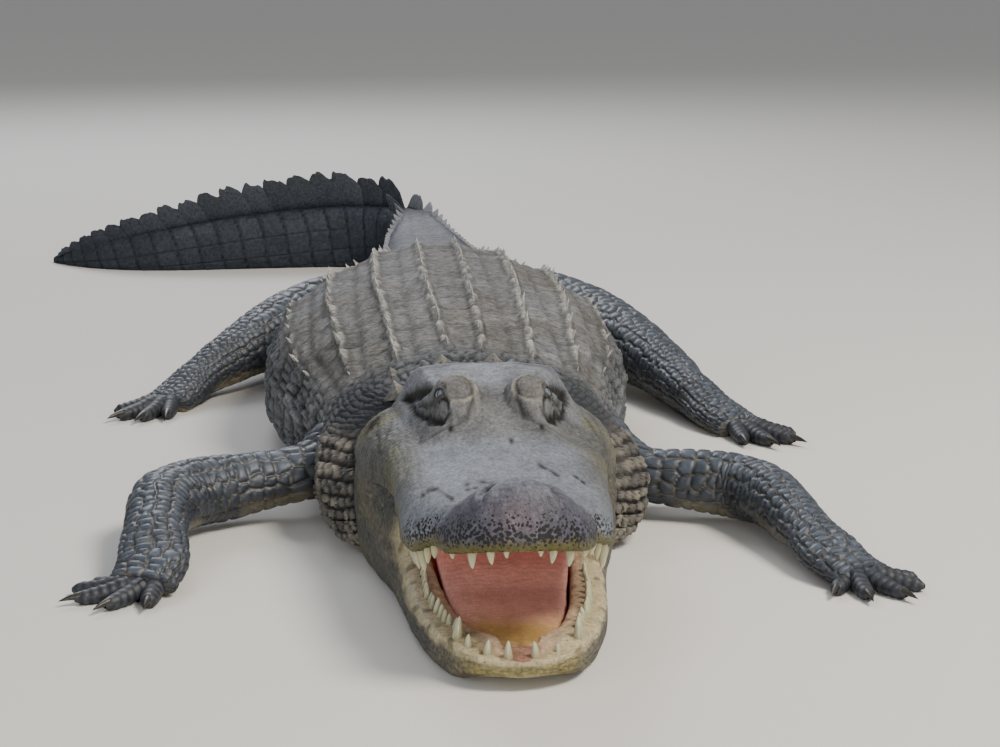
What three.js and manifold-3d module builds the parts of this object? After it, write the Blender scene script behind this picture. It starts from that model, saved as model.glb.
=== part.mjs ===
// A life-size still model of a large American alligator that lies on its belly and gapes.
// The body is divided into head, lower jaw, tongue, eyes, neck, torso, tail lengths and limbs.
// Millimetres, +Z up. The animal faces -Y and its left side is +X.
// "s" is the distance back along the spine from the tip of the snout.

import * as THREE from "three";
import { ConvexGeometry } from "three/addons/geometries/ConvexGeometry.js";
import { LoftGeometry } from "three/addons/geometries/LoftGeometry.js";
import { mergeVertices } from "three/addons/utils/BufferGeometryUtils.js";
import Module from "manifold-3d";

const wasm = await Module();
wasm.setup();

// Driving dimensions
const TOTAL_LENGTH = 3200;
const HEAD_LENGTH = 440; // snout tip to the rear edge of the skull table
const HEAD_END = 445; // where head and jaw meet the neck
const NECK_END = 640;
const TORSO_END = 1562;
const CREST_MERGE = 2440; // where the tail's two crests become one
const GAP = 0.3; // between touching parts

// Smooth monotone curve through a few [station, value] pairs.
function profile(points) {
  const last = points.length - 1;
  const slopes = points.slice(1).map(([s, v], i) => (v - points[i][1]) / (s - points[i][0]));
  const tangents = points.map((point, i) => {
    if (i === 0 || i === last) return slopes[Math.min(i, last - 1)];
    const [a, b] = [slopes[i - 1], slopes[i]];
    return a * b <= 0 ? 0 : (2 * a * b) / (a + b);
  });
  return (s) => {
    if (s <= points[0][0]) return points[0][1];
    if (s >= points[last][0]) return points[last][1];
    const i = points.findIndex((point) => point[0] > s) - 1;
    const [s0, v0] = points[i];
    const [s1, v1] = points[i + 1];
    const span = s1 - s0;
    const t = (s - s0) / span;
    return (
      v0 * (1 + 2 * t) * (1 - t) ** 2 +
      tangents[i] * span * t * (1 - t) ** 2 +
      v1 * t ** 2 * (3 - 2 * t) +
      tangents[i + 1] * span * t ** 2 * (t - 1)
    );
  };
}

const clamp01 = (t) => Math.min(Math.max(t, 0), 1);
const smoothstep = (from, to, t) => {
  const u = clamp01((t - from) / (to - from));
  return u * u * (3 - 2 * u);
};
const degrees = (angle) => (angle * Math.PI) / 180;
const range = (count) => Array.from({ length: count }, (_, i) => i);

// Repeatable draw between -1 and 1 for the small differences between like pieces.
let draws = 0;
function jitter() {
  draws += 1;
  const wave = Math.sin(draws * 12.9898) * 43758.5453;
  return 2 * (wave - Math.floor(wave)) - 1;
}

// Solids

// A closed geometry as a manifold-3d solid. Collapsed end rings leave flat triangles, which are dropped.
function solid(geometry) {
  const bare = new THREE.BufferGeometry();
  bare.setAttribute("position", geometry.getAttribute("position"));
  if (geometry.index) bare.setIndex(geometry.index);
  const merged = mergeVertices(bare, 1e-3);
  const corners = [];
  for (let i = 0; i < merged.index.count; i += 3) {
    const [a, b, c] = [0, 1, 2].map((k) => merged.index.getX(i + k));
    if (a !== b && b !== c && c !== a) corners.push(a, b, c);
  }
  return new wasm.Manifold(
    new wasm.Mesh({
      numProp: 3,
      vertProperties: merged.getAttribute("position").array,
      triVerts: new Uint32Array(corners),
    }),
  );
}

// Sections skinned into a solid whose ends are closed by fans to their middle points.
function loft(sections) {
  const collapse = (ring) => {
    const middle = new THREE.Vector3();
    ring.forEach((point) => middle.addScaledVector(point, 1 / ring.length));
    return ring.map(() => middle.clone());
  };
  return solid(new LoftGeometry([collapse(sections[0]), ...sections, collapse(sections.at(-1))]));
}

const fuse = (body, pieces) => pieces.reduce((joined, piece) => joined.add(piece), body);
const carve = (body, tools) => tools.reduce((left, tool) => left.subtract(tool), body);
const largest = (body) => body.decompose().reduce((a, b) => (b.volume() > a.volume() ? b : a));

// Joins and cuts leave slivers. Short edges are closed up, and the long edge of a flat triangle is turned
// so that it joins the two corners it used to part.
const SHORTEST_EDGE = 0.12;
const THINNEST_TRIANGLE = 0.004;

function withoutShortEdges(points, triangles) {
  const merged = points.map((_, i) => i);
  const find = (i) => (merged[i] === i ? i : find(merged[i]));
  for (const triangle of triangles) {
    triangle.forEach((a, k) => {
      const b = triangle[(k + 1) % 3];
      if (points[a].distanceTo(points[b]) < SHORTEST_EDGE) merged[find(a)] = find(b);
    });
  }
  const closed = triangles.map((triangle) => triangle.map(find));
  const kept = closed.filter(([a, b, c]) => a !== b && b !== c && c !== a);
  const name = (triangle) => [...triangle].sort((a, b) => a - b).join();
  const seen = new Map();
  kept.forEach((triangle) => seen.set(name(triangle), (seen.get(name(triangle)) ?? 0) + 1));
  return kept.filter((triangle) => seen.get(name(triangle)) === 1);
}

function withoutFlatTriangles(points, triangles) {
  const owner = new Map();
  const claim = (triangle, i) => triangle.forEach((a, k) => owner.set(`${a},${triangle[(k + 1) % 3]}`, i));
  triangles.forEach(claim);
  triangles.forEach((triangle, i) => {
    const [a, b, c] = [0, 1, 2]
      .map((k) => [triangle[k], triangle[(k + 1) % 3], triangle[(k + 2) % 3]])
      .sort((p, q) => points[q[0]].distanceTo(points[q[1]]) - points[p[0]].distanceTo(points[p[1]]))[0];
    const edge = points[b].clone().sub(points[a]);
    const twiceArea = edge.clone().cross(points[c].clone().sub(points[a])).length();
    if (twiceArea / edge.length() > THINNEST_TRIANGLE) return;
    const other = owner.get(`${b},${a}`);
    const d = triangles[other].find((corner) => corner !== a && corner !== b);
    if (owner.has(`${d},${c}`) || owner.has(`${c},${d}`)) return;
    triangles[i] = [c, a, d];
    triangles[other] = [d, b, c];
    owner.delete(`${a},${b}`);
    owner.delete(`${b},${a}`);
    claim(triangles[i], i);
    claim(triangles[other], other);
  });
  return triangles;
}

const group = new THREE.Group();

function node(name, body, finish) {
  const { numProp, vertProperties, triVerts, numVert } = largest(body).getMesh();
  const points = range(numVert).map((i) => new THREE.Vector3().fromArray(vertProperties, i * numProp));
  const corners = range(triVerts.length / 3).map((i) => Array.from(triVerts.subarray(3 * i, 3 * i + 3)));
  const clean = withoutFlatTriangles(points, withoutShortEdges(points, corners));
  const geometry = new THREE.BufferGeometry().setFromPoints(clean.flat().map((i) => points[i]));
  geometry.computeVertexNormals();
  const mesh = new THREE.Mesh(geometry, finish);
  mesh.name = name;
  group.add(mesh);
}

// Finishes

const hide = (color, roughness) => new THREE.MeshStandardMaterial({ color, roughness });
const HEAD_HIDE = hide(0x6f706c, 0.62);
const BACK_HIDE = hide(0x837d72, 0.85);
const TAIL_HIDE = hide(0x4a4a4d, 0.7);
const LIMB_HIDE = hide(0x44464c, 0.55);
const JAW_HIDE = hide(0xa89f83, 0.55);
const TONGUE_FLESH = hide(0xb5736b, 0.45);
const EYE_GLASS = hide(0x3b3524, 0.12);

// Spine: nearly straight to the middle of the tail, where the tail swings round to the animal's right.
// The belly lies a little to that side too, and the tip of the tail curls back.

const tailBend = { from: 2290, to: 2650, turn: degrees(96) };
const tipCurl = { from: 2850, to: 3240, turn: degrees(-56) };
const sway = profile([[445, 0], [700, -6], [950, -13], [1250, -9], [1600, 0]]);
const SPINE_STEP = 5;

function heading(s) {
  const swing = tailBend.turn * smoothstep(tailBend.from, tailBend.to, s);
  return swing + tipCurl.turn * smoothstep(tipCurl.from, tipCurl.to, s);
}

const spinePoints = [{ x: 0, y: 0 }];
for (let s = 0; s < TOTAL_LENGTH + SPINE_STEP; s += SPINE_STEP) {
  const before = spinePoints.at(-1);
  const along = heading(s + SPINE_STEP / 2);
  spinePoints.push({
    x: before.x - SPINE_STEP * Math.sin(along),
    y: before.y + SPINE_STEP * Math.cos(along),
  });
}

// The point at height z, "across" from the spine towards the animal's left.
function fromSpine(s, across, z) {
  const i = Math.floor(s / SPINE_STEP);
  const t = s / SPINE_STEP - i;
  const [a, b] = [spinePoints[i], spinePoints[i + 1]];
  const along = heading(s);
  return new THREE.Vector3(
    a.x + (b.x - a.x) * t + sway(s) + across * Math.cos(along),
    a.y + (b.y - a.y) * t + across * Math.sin(along),
    z,
  );
}

// Trunk and tail: half width, height of the back, and height of the widest place

const halfWidth = profile([
  [445, 172], [495, 185], [560, 180], [640, 173], [720, 184], [840, 216], [960, 234], [1060, 236],
  [1200, 218], [1330, 176], [1450, 142], [1562, 116], [1700, 100], [1850, 86], [2050, 72],
  [2250, 56], [2450, 44], [2650, 34], [2850, 26], [3000, 19], [3120, 12], [3200, 4],
]);
const backHeight = profile([
  [445, 184], [500, 176], [560, 170], [640, 178], [740, 194], [860, 212], [980, 220], [1120, 218],
  [1280, 208], [1420, 194], [1562, 172], [1700, 158], [1900, 144], [2150, 132], [2400, 126],
  [2600, 122], [2740, 112], [2860, 96], [2960, 78], [3060, 56], [3140, 34], [3200, 12],
]);
const wideShare = profile([[445, 0.3], [900, 0.3], [1300, 0.34], [1700, 0.44], [3200, 0.46]]);
const backFlatness = profile([
  [445, 0.95], [640, 0.74], [1300, 0.8], [1562, 0.62], [1900, 0.5], [2350, 0.55], [2600, 0.85], [3200, 1],
]);
const BELLY_ROUND = 0.7;
const BELLY_SINK = 12; // how far the round belly would reach below the ground that flattens it

// A section's outline at an angle from the top, 0, to the belly, pi, raised by "lift" off the skin.
function trunkPoint(s, angle, lift = 0, lean = 0) {
  const [wide, top] = [halfWidth(s), backHeight(s)];
  const middle = wideShare(s) * top;
  const place = (a) => {
    const cosine = Math.cos(a);
    const height =
      cosine >= 0
        ? middle + (top - middle) * cosine ** backFlatness(s)
        : middle - (middle + Math.min(BELLY_SINK, 0.2 * middle)) * (-cosine) ** BELLY_ROUND;
    return [wide * Math.sin(a), height];
  };
  const [x, z] = place(angle);
  const [x0, z0] = place(angle - 0.02);
  const [x1, z1] = place(angle + 0.02);
  const length = Math.hypot(x1 - x0, z1 - z0);
  const across = x - (lift * (z1 - z0)) / length;
  const height = z + (lift * (x1 - x0)) / length;
  return fromSpine(Math.min(s + lean, TOTAL_LENGTH), across, Math.max(height, 0));
}

// The angle at which the skin lies "offset" from the midline, kept inside a share of the width.
const angleAt = (s, offset, share) => Math.asin(Math.min(offset / halfWidth(s), share));

// A ring from columns that give, for one side, the angle and lift at a station.
function trunkRing(s, columns, grow = 0) {
  const side = columns.map((column) => column(s));
  const put = ({ angle, lift = 0, lean = 0 }, sign) => trunkPoint(s, sign * angle, lift + grow, lean);
  const mirrored = side.slice(1, -1).reverse();
  return [...side.map((c) => put(c, 1)), ...mirrored.map((c) => put(c, -1))];
}

// Torso: rows of keeled plates across the back, each rising from a groove to its rear edge

const PLATE_PITCH = 51.2;
const torsoRows = Math.round((TORSO_END - NECK_END) / PLATE_PITCH);
const keelRows = [
  { keel: 28, edge: 58, height: 12, from: 640, to: 1640, share: 0.3 },
  { keel: 90, edge: 120, height: 14, from: 640, to: 1640, share: 0.62 },
  { keel: 150, edge: 178, height: 13, from: 700, to: 1470, share: 0.8 },
  { keel: 202, edge: 222, height: 10, from: 800, to: 1360, share: 0.92 },
];
const PLATE_STEP = 3; // how far a plate's rear edge stands over the next one
const FLANK_ANGLES = [81, 93, 106, 120, 137, 158, 180].map(degrees);

function torsoColumns(rise, variety) {
  const keeled = keelRows.flatMap(({ keel, edge, height, from, to, share }, i) => {
    const fade = (s) => smoothstep(from - 60, from + 20, s) * (1 - smoothstep(to - 20, to + 60, s));
    return [
      (s) => ({ angle: angleAt(s, keel, share), lift: rise * fade(s) * (PLATE_STEP + height * variety[i]) }),
      (s) => ({ angle: angleAt(s, edge, share + 0.06), lift: rise * fade(s) * PLATE_STEP * 0.4 }),
    ];
  });
  return [
    () => ({ angle: 0, lift: rise * PLATE_STEP }),
    ...keeled,
    ...FLANK_ANGLES.map((angle) => () => ({ angle, lift: 0 })),
  ];
}

function torsoRings(grow = 0) {
  const rings = [];
  const pitch = (TORSO_END - NECK_END - GAP) / torsoRows;
  draws = 0;
  for (const row of range(torsoRows)) {
    const start = NECK_END + GAP + row * pitch;
    const variety = keelRows.map(() => 1 + 0.18 * jitter());
    rings.push(trunkRing(start, torsoColumns(0.15, variety), grow));
    rings.push(trunkRing(start + 0.68 * pitch, torsoColumns(1, variety), grow));
  }
  rings.push(trunkRing(TORSO_END, torsoColumns(0.15, [1, 1, 1, 1]), grow));
  return rings;
}

const torso = loft(torsoRings());
const torsoClearance = loft(torsoRings(GAP));

// Tail: whorls of plates. Two crests run together, and one goes on to the tip.

const whorlPitch = profile([[1562, 50], [2700, 45], [3000, 38], [3200, 26]]);
const crestOffset = profile([[1562, 86], [1700, 76], [2050, 60], [2300, 34], [2440, 15]]);
const doubleCrest = profile([[1562, 13], [1700, 22], [2050, 32], [2300, 46], [2440, 56]]);
const singleCrest = profile([
  [2440, 60], [2600, 72], [2760, 64], [2900, 48], [3020, 35], [3120, 20], [3200, 5],
]);
const CREST_BASE = 8; // half thickness of a crest plate where it leaves the tail
const CREST_LEAN = 0.28; // how far a crest plate leans back for its height
const CREST_NOTCH = 0.62; // share of the height that is left between two plates

// "share" is how much of its full height a crest has there.
// "leans" is 0 where a length is cut off square.
function doubleCrestColumns(share, leans = 1) {
  const crest = crestOffset;
  const lean = leans * share * CREST_LEAN;
  const at = (s, offset) => Math.asin(clamp01(Math.min(offset / halfWidth(s), 0.985)));
  const flank = (t) => (s) => ({ angle: at(s, crest(s) + CREST_BASE) * (1 - t) + Math.PI * t });
  return [
    () => ({ angle: 0, lift: share * 2 }),
    (s) => ({ angle: at(s, 0.45 * crest(s)), lift: share * 3 }),
    (s) => ({ angle: at(s, crest(s) - CREST_BASE) }),
    (s) => ({ angle: at(s, crest(s)), lift: share * doubleCrest(s), lean: lean * doubleCrest(s) }),
    (s) => ({ angle: at(s, crest(s) + CREST_BASE) }),
    ...[0.14, 0.3, 0.46, 0.62, 0.8, 1].map(flank),
  ];
}

function singleCrestColumns(share, leans = 1) {
  const lean = leans * share * CREST_LEAN;
  const base = (s) => Math.min(CREST_BASE / halfWidth(s), 0.45);
  const flank = (t) => (s) => ({ angle: base(s) * (1 - t) + Math.PI * t, lift: t < 1 ? share * 1.2 : 0 });
  return [
    (s) => ({ angle: 0, lift: share * singleCrest(s), lean: lean * singleCrest(s) }),
    (s) => ({ angle: base(s) }),
    ...[0.16, 0.32, 0.48, 0.64, 0.82, 1].map(flank),
  ];
}

const whorls = [TORSO_END + GAP];
while (whorls.at(-1) < TOTAL_LENGTH - 24) whorls.push(whorls.at(-1) + whorlPitch(whorls.at(-1)));
whorls[whorls.length - 1] = TOTAL_LENGTH - 12;
const mergeWhorl = whorls.findIndex((s) => s > CREST_MERGE);

function tailLength(first, last, grow = 0) {
  const rings = [];
  const columns = first >= mergeWhorl ? singleCrestColumns : doubleCrestColumns;
  for (const i of range(last - first)) {
    const start = whorls[first + i] + (i === 0 ? GAP : 0);
    const pitch = whorls[first + i + 1] - start;
    rings.push(trunkRing(start, i === 0 ? columns(0.3, 0) : columns(CREST_NOTCH), grow));
    rings.push(trunkRing(start + 0.72 * pitch, columns(1 + 0.08 * jitter()), grow));
  }
  rings.push(trunkRing(whorls[last], columns(0.3, 0), grow));
  return loft(rings);
}

// Neck, with the cluster of large raised scutes behind the skull

function neckRings(grow = 0) {
  const angles = [0, 13, 26, 39, 52, 65, 78, 92, 106, 120, 138, 158, 180].map(degrees);
  const columns = angles.map((angle) => () => ({ angle }));
  const stations = [HEAD_END + GAP, 470, 500, 535, 575, 610, NECK_END];
  return stations.map((s) => trunkRing(s, columns, grow));
}

// A keeled plate: a hexagonal base sunk in the skin and a ridge that is highest near its rear.
function keeledScute(s, offset, length, width, height) {
  const side = Math.sign(offset) || 1;
  const at = (ds, dx, lift) =>
    trunkPoint(s + ds, side * angleAt(s, Math.abs(offset) + dx, 0.97), lift);
  const [l, w] = [length / 2, width / 2];
  const corners = [[-l, 0], [-0.6 * l, w], [0.75 * l, w], [l, 0], [0.75 * l, -w], [-0.6 * l, -w]];
  const base = corners.map(([ds, dx]) => at(ds, dx, -6));
  const top = corners.map(([ds, dx]) => at(0.86 * ds, 0.86 * dx, 2.5));
  const ridge = [at(-0.5 * l, 0, 0.55 * height), at(0.45 * l, 0, height), at(0.8 * l, 0, 0.8 * height)];
  return solid(new ConvexGeometry([...base, ...top, ...ridge]));
}

const neckClearance = loft(neckRings(GAP));

const nuchalScutes = [
  { s: 505, offset: 31, length: 52, width: 50, height: 20 },
  { s: 560, offset: 29, length: 50, width: 48, height: 19 },
  { s: 528, offset: 88, length: 44, width: 38, height: 16 },
  { s: 614, offset: 30, length: 40, width: 44, height: 14 },
  { s: 600, offset: 88, length: 42, width: 38, height: 13 },
  { s: 470, offset: 44, length: 24, width: 30, height: 8 },
];
const neck = fuse(
  loft(neckRings()),
  nuchalScutes.flatMap(({ s, offset, length, width, height }) =>
    [-1, 1].map((side) => keeledScute(s, side * offset, length, width, height * (1 + 0.1 * jitter()))),
  ),
);

// Head. The upper jaw is raised: its lip line climbs forwards from the corner of the mouth.

const MOUTH_CORNER = 385;
const LIP = { tip: 121, rear: 90 };
const upperWidth = profile([
  [0, 0], [3, 20], [10, 37], [22, 50], [40, 60], [62, 64], [78, 66], [96, 80], [120, 94], [150, 100],
  [200, 102], [250, 108], [300, 118], [350, 128], [400, 136], [445, 138],
]);
const upperHeight = profile([
  [0, 12], [4, 26], [12, 38], [30, 47], [60, 45], [90, 42], [130, 42], [180, 48], [230, 58], [265, 70],
  [300, 86], [335, 96], [380, 103], [430, 107], [445, 104],
]);
const tableHalf = profile([[260, 52], [330, 60], [440, 68]]);
const lowerWidth = profile([
  [-6, 0], [-3, 22], [6, 40], [22, 54], [48, 66], [82, 76], [130, 88], [180, 96], [250, 104], [300, 114],
  [350, 127], [400, 138], [445, 140],
]);
const jowl = profile([[285, 0], [330, 20], [375, 36], [445, 37]]); // how far the throat bulges out
const rimHeight = profile([
  [-6, 28], [50, 37], [110, 36], [200, 43], [300, 63], [350, 79], [MOUTH_CORNER, 93], [445, 97],
]);
const NOSE = { s: 36, halfLength: 38, halfWidth: 56, rise: 9 };
const EYE = { s: 330, across: 57, radius: 14.5, sink: 5 };
const BROW = { across: 43, halfLength: 34, halfWidth: 26, rise: 17 };
const LIP_BAND = 9; // height of the rounded lip below the snout's flank

// The lip is scalloped: it drops at the large teeth and lifts at the notch behind the nose.
const festoon = profile([
  [0, 0], [45, -1], [76, 6], [122, -6], [200, 5], [262, -3], [330, 4], [385, 0], [445, 0],
]);

function lipHeight(s) {
  const line = LIP.tip + ((LIP.rear - LIP.tip) * s) / HEAD_LENGTH + festoon(s);
  return s < MOUTH_CORNER - 0.01 ? Math.max(line, rimHeight(s) + GAP) : rimHeight(s) + GAP;
}

// A rounded mound that is 1 at its middle and 0 at its edge.
const mound = (ds, dx) => Math.max(0, 1 - ds * ds - dx * dx) ** 1.5;

// Height of the head's upper surface over the lip line.
function crownHeight(s, x) {
  const share = Math.min(Math.abs(x) / Math.max(upperWidth(s), 1), 1);
  const snout = (1 - share ** 3.2) ** 0.46;
  const muscle = (1 - share ** 3) ** 0.5;
  const table = 1 - smoothstep(tableHalf(s) - 4, tableHalf(s) + 16, Math.abs(x));
  const skull = 0.62 * muscle + 0.38 * table;
  const skullShare = smoothstep(235, 330, s);
  const brow = mound((s - EYE.s) / BROW.halfLength, (Math.abs(x) - BROW.across) / BROW.halfWidth);
  const nose = mound((s - NOSE.s) / NOSE.halfLength, x / NOSE.halfWidth);
  const valley = 4 * mound((s - EYE.s) / 50, x / 14);
  const body = upperHeight(s) - LIP_BAND;
  const shape = snout + (skull - snout) * skullShare;
  return LIP_BAND + body * shape + BROW.rise * brow + NOSE.rise * nose - valley;
}

function upperRing(s) {
  const wide = upperWidth(s);
  const lip = lipHeight(s);
  const open = 1 - smoothstep(330, MOUTH_CORNER - 5, s);
  const crown = [0, 0.1, 0.2, 0.3, 0.4, 0.5, 0.6, 0.7, 0.8, 0.9, 0.97].map((t) => [
    t * wide,
    lip + crownHeight(s, t * wide),
  ]);
  const flank = [[wide, lip + 0.55 * LIP_BAND], [0.985 * wide, lip]];
  const inset = Math.min(9, 0.2 * wide);
  const palate = [
    [wide - inset, lip + 1 * open],
    [wide - 2.4 * inset, lip + 5 * open],
    [0.5 * wide, lip + 8 * open],
    [0, lip + 10 * open],
  ];
  const half = [...crown, ...flank, ...palate];
  const mirrored = half.slice(1, -1).reverse();
  return [
    ...half.map(([x, z]) => new THREE.Vector3(x, s, z)),
    ...mirrored.map(([x, z]) => new THREE.Vector3(-x, s, z)),
  ];
}

// A straight cone for a tooth, sunk at its root. "up" is 1 for the lower jaw and -1 for the upper.
const TOOTH_ROOT = 7;
function tooth(x, s, z, length, up) {
  const radius = 2.7 + 0.16 * length;
  const cone = new THREE.ConeGeometry(radius, length + TOOTH_ROOT, 5, 1);
  cone.translate(0, (length + TOOTH_ROOT) / 2 - TOOTH_ROOT, 0);
  cone.rotateX(up * degrees(90));
  cone.rotateY(up * Math.sign(x) * degrees(7));
  cone.translate(x, s, z);
  return solid(cone);
}

// Front teeth stand on an arc round the tip, and the others in a row inside the lip.
function toothRow({ arc, front, row, inset, width, height, up }) {
  const places = front.map(({ angle, length }) => ({
    x: arc.radius * Math.sin(degrees(angle)),
    s: arc.centre - arc.radius * Math.cos(degrees(angle)),
    length,
  }));
  let s = row.from;
  for (const length of row.lengths) {
    places.push({ x: width(s) - inset, s, length });
    s += row.pitch + 0.2 * length;
  }
  return places.flatMap((place) =>
    [-1, 1].map((side) =>
      tooth(side * place.x, place.s, height(place.s), place.length * (1 + 0.12 * jitter()), up),
    ),
  );
}

const upperTeeth = toothRow({
  arc: { centre: 62, radius: 51 },
  front: [
    { angle: 9, length: 9 }, { angle: 25, length: 12 }, { angle: 43, length: 19 },
    { angle: 63, length: 20 }, { angle: 84, length: 12 },
  ],
  row: { from: 86, pitch: 11, lengths: [13, 17, 24, 29, 24, 17, 13, 12, 13, 15, 14, 12, 10, 9] },
  inset: 11,
  width: upperWidth,
  height: (s) => lipHeight(s) + 1,
  up: -1,
});
const lowerTeeth = toothRow({
  arc: { centre: 54, radius: 51 },
  front: [
    { angle: 14, length: 22 }, { angle: 37, length: 14 },
    { angle: 57, length: 13 }, { angle: 81, length: 28 },
  ],
  row: { from: 66, pitch: 13, lengths: [12, 10, 11, 13, 16, 17, 14, 12, 12, 12, 11, 11, 10, 9] },
  inset: 17,
  width: lowerWidth,
  height: (s) => rimHeight(s) + 1,
  up: 1,
});

// Upper and lower eyelid: a short ridge that arches over or under the eyeball.
function eyelid(side, centre, reach, tilt) {
  const thick = 2.6;
  const sections = range(7).map((i) => {
    const along = degrees(-66 + 22 * i);
    const pinch = i === 0 || i === 6 ? 0.4 : 1;
    return range(6).map((k) => {
      const turn = (k / 6) * 2 * Math.PI;
      const radius = reach + side * thick * pinch * Math.cos(turn);
      return new THREE.Vector3(
        centre.x + side * (radius * Math.cos(along) * Math.cos(tilt)) - side * 3,
        centre.y + radius * Math.sin(along),
        centre.z + radius * Math.cos(along) * Math.sin(tilt) + thick * pinch * Math.sin(turn),
      );
    });
  });
  return loft(sections);
}

const eyeCentre = (side) => {
  const z = lipHeight(EYE.s) + crownHeight(EYE.s, EYE.across) - EYE.sink;
  return new THREE.Vector3(side * EYE.across, EYE.s, z);
};
const ball = (centre, radius, rounds = 14) => {
  const sphere = new THREE.SphereGeometry(radius, rounds, Math.round(rounds * 0.6));
  sphere.rotateX(degrees(90));
  return solid(sphere.translate(centre.x, centre.y, centre.z));
};

// Nostrils are two slits that curve over the nose, and the ear is a slit under the skull table's edge.
function slit(places, width, depth) {
  const sections = places.map(([x, s, z], i) => {
    const open = i === 0 || i === places.length - 1 ? 0.35 : 1;
    return [[1, 1], [1, -1], [-1, -1], [-1, 1]].map(
      ([a, b]) => new THREE.Vector3(x + a * width * open, s + 0.15 * a, z + b * depth * open),
    );
  });
  return loft(sections);
}

const crownAt = (s, x) => lipHeight(s) + crownHeight(s, x);
const nostril = (side) => {
  const places = [24, 31, 39, 46].map((s, i) => {
    const x = 13 + 7 * Math.sin((Math.PI * (i + 0.5)) / 4);
    return [side * x, s, crownAt(s, x)];
  });
  return slit(places, 3, 7);
};
const earSlit = (side) => {
  const places = [358, 372, 388, 404].map((s) => {
    const x = tableHalf(s) + 9;
    return [side * x, s, crownAt(s, x) + 1];
  });
  return slit(places, 4, 7);
};

const upperStations = [
  0.6, 3, 7, 13, 21, 31, 42, 54, 66, 78, 92, 108, 126, 150, 178, 206, 232, 254, 274, 290, 302, 314,
  326, 338, 350, 364, 384, 385.2, 404, 424, 438, HEAD_END,
];
const sides = [-1, 1];
const head = carve(
  fuse(loft(upperStations.map(upperRing)), [
    ...upperTeeth,
    ...sides.map((side) => eyelid(side, eyeCentre(side), EYE.radius - 1, degrees(52))),
    ...sides.map((side) => eyelid(side, eyeCentre(side), EYE.radius, degrees(-14))),
  ]),
  [
    ...sides.map((side) => ball(eyeCentre(side), EYE.radius + GAP)),
    ...sides.map(nostril),
    ...sides.map(earSlit),
  ],
);

// Lower jaw: a trough that lies on the ground, with a broad rim that carries the teeth

const RIM_WIDTH = 34;
const floorHeight = profile([[24, 20], [58, 13], [200, 17], [300, 32], [340, 46]]);
const innerWidth = (s) => {
  const opening = Math.sqrt(clamp01((s - 22) / 46));
  return Math.max((lowerWidth(s) - RIM_WIDTH) * opening, 0.3 * lowerWidth(s));
};
const troughDepth = (s) => smoothstep(22, 36, s) * (1 - smoothstep(335, 378, s));

function lowerRing(s) {
  const wide = lowerWidth(s);
  const rim = rimHeight(s);
  const inner = innerWidth(s);
  const chin = 8 * (1 - smoothstep(-8, 24, s)); // the chin curves up off the ground
  const bulge = jowl(s);
  const floor = rim + (floorHeight(s) - rim) * troughDepth(s);
  const half = [
    [0, chin],
    [0.6 * wide, chin],
    [0.86 * wide + 0.7 * bulge, chin],
    [0.965 * wide + bulge, chin + 0.22 * (rim - chin)],
    [wide + bulge, chin + 0.55 * (rim - chin)],
    [0.99 * wide + 0.6 * bulge, chin + 0.86 * (rim - chin)],
    [0.96 * wide, rim],
    [0.5 * (wide + inner), rim + 1.5 * troughDepth(s)],
    [inner, rim],
    [0.96 * inner, floor + 0.3 * (rim - floor)],
    [0.8 * inner, floor],
    [0, floor],
  ];
  const mirrored = half.slice(1, -1).reverse();
  return [
    ...half.map(([x, z]) => new THREE.Vector3(-x, s, z)),
    ...mirrored.map(([x, z]) => new THREE.Vector3(x, s, z)),
  ];
}

const lowerStations = [
  -5.6, -3, 1, 7, 15, 24, 32, 42, 56, 76, 104, 136, 168, 202, 236, 268, 298, 324, 342, 360, 378,
  MOUTH_CORNER, 404, 424, HEAD_END,
];
const lowerJaw = fuse(loft(lowerStations.map(lowerRing)), lowerTeeth);

// Tongue: a broad pad that fills the trough and climbs to the throat

const tongueTop = profile([[34, 19], [46, 27], [100, 31], [180, 36], [250, 47], [300, 60], [332, 70]]);
function tongueRing(s) {
  const wide = innerWidth(s) - 3 - 6 * (1 - smoothstep(34, 54, s));
  const base = rimHeight(s) + (floorHeight(s) - rimHeight(s)) * troughDepth(s) + GAP;
  const top = Math.max(tongueTop(s), base + 4);
  const half = [
    [0, top],
    [0.4 * wide, top - 0.5],
    [0.72 * wide, top - 2.5],
    [0.8 * wide - 1, top - 6],
    [0.7 * wide, base],
    [0, base],
  ];
  const mirrored = half.slice(1, -1).reverse();
  return [
    ...half.map(([x, z]) => new THREE.Vector3(x, s, Math.max(z, base))),
    ...mirrored.map(([x, z]) => new THREE.Vector3(-x, s, Math.max(z, base))),
  ];
}
const tongue = loft(lowerStations.filter((s) => s >= 42 && s <= 342).map(tongueRing));

// Limbs: an oval section carried along a curve through the joints, parted at elbow, wrist, knee and ankle

const LIMB_SIDES = 12;

function limbRings(path, sizes, from, to, steps) {
  const curve = new THREE.CatmullRomCurve3(path.map((p) => new THREE.Vector3(...p)), false, "centripetal");
  const across = profile(sizes.map(([t, w]) => [t, w]));
  const upright = profile(sizes.map(([t, , h]) => [t, h]));
  return range(steps + 1).map((i) => {
    const t = from + ((to - from) * i) / steps;
    const centre = curve.getPointAt(t);
    const along = curve.getTangentAt(t);
    const side = new THREE.Vector3().crossVectors(along, new THREE.Vector3(0, 0, 1)).normalize();
    const up = new THREE.Vector3().crossVectors(side, along);
    return range(LIMB_SIDES).map((k) => {
      const turn = (-2 * Math.PI * k) / LIMB_SIDES;
      const point = centre.clone();
      point.addScaledVector(side, across(t) * Math.cos(turn));
      point.addScaledVector(up, upright(t) * Math.sin(turn));
      point.z = Math.max(point.z, 0);
      return point;
    });
  });
}

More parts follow.
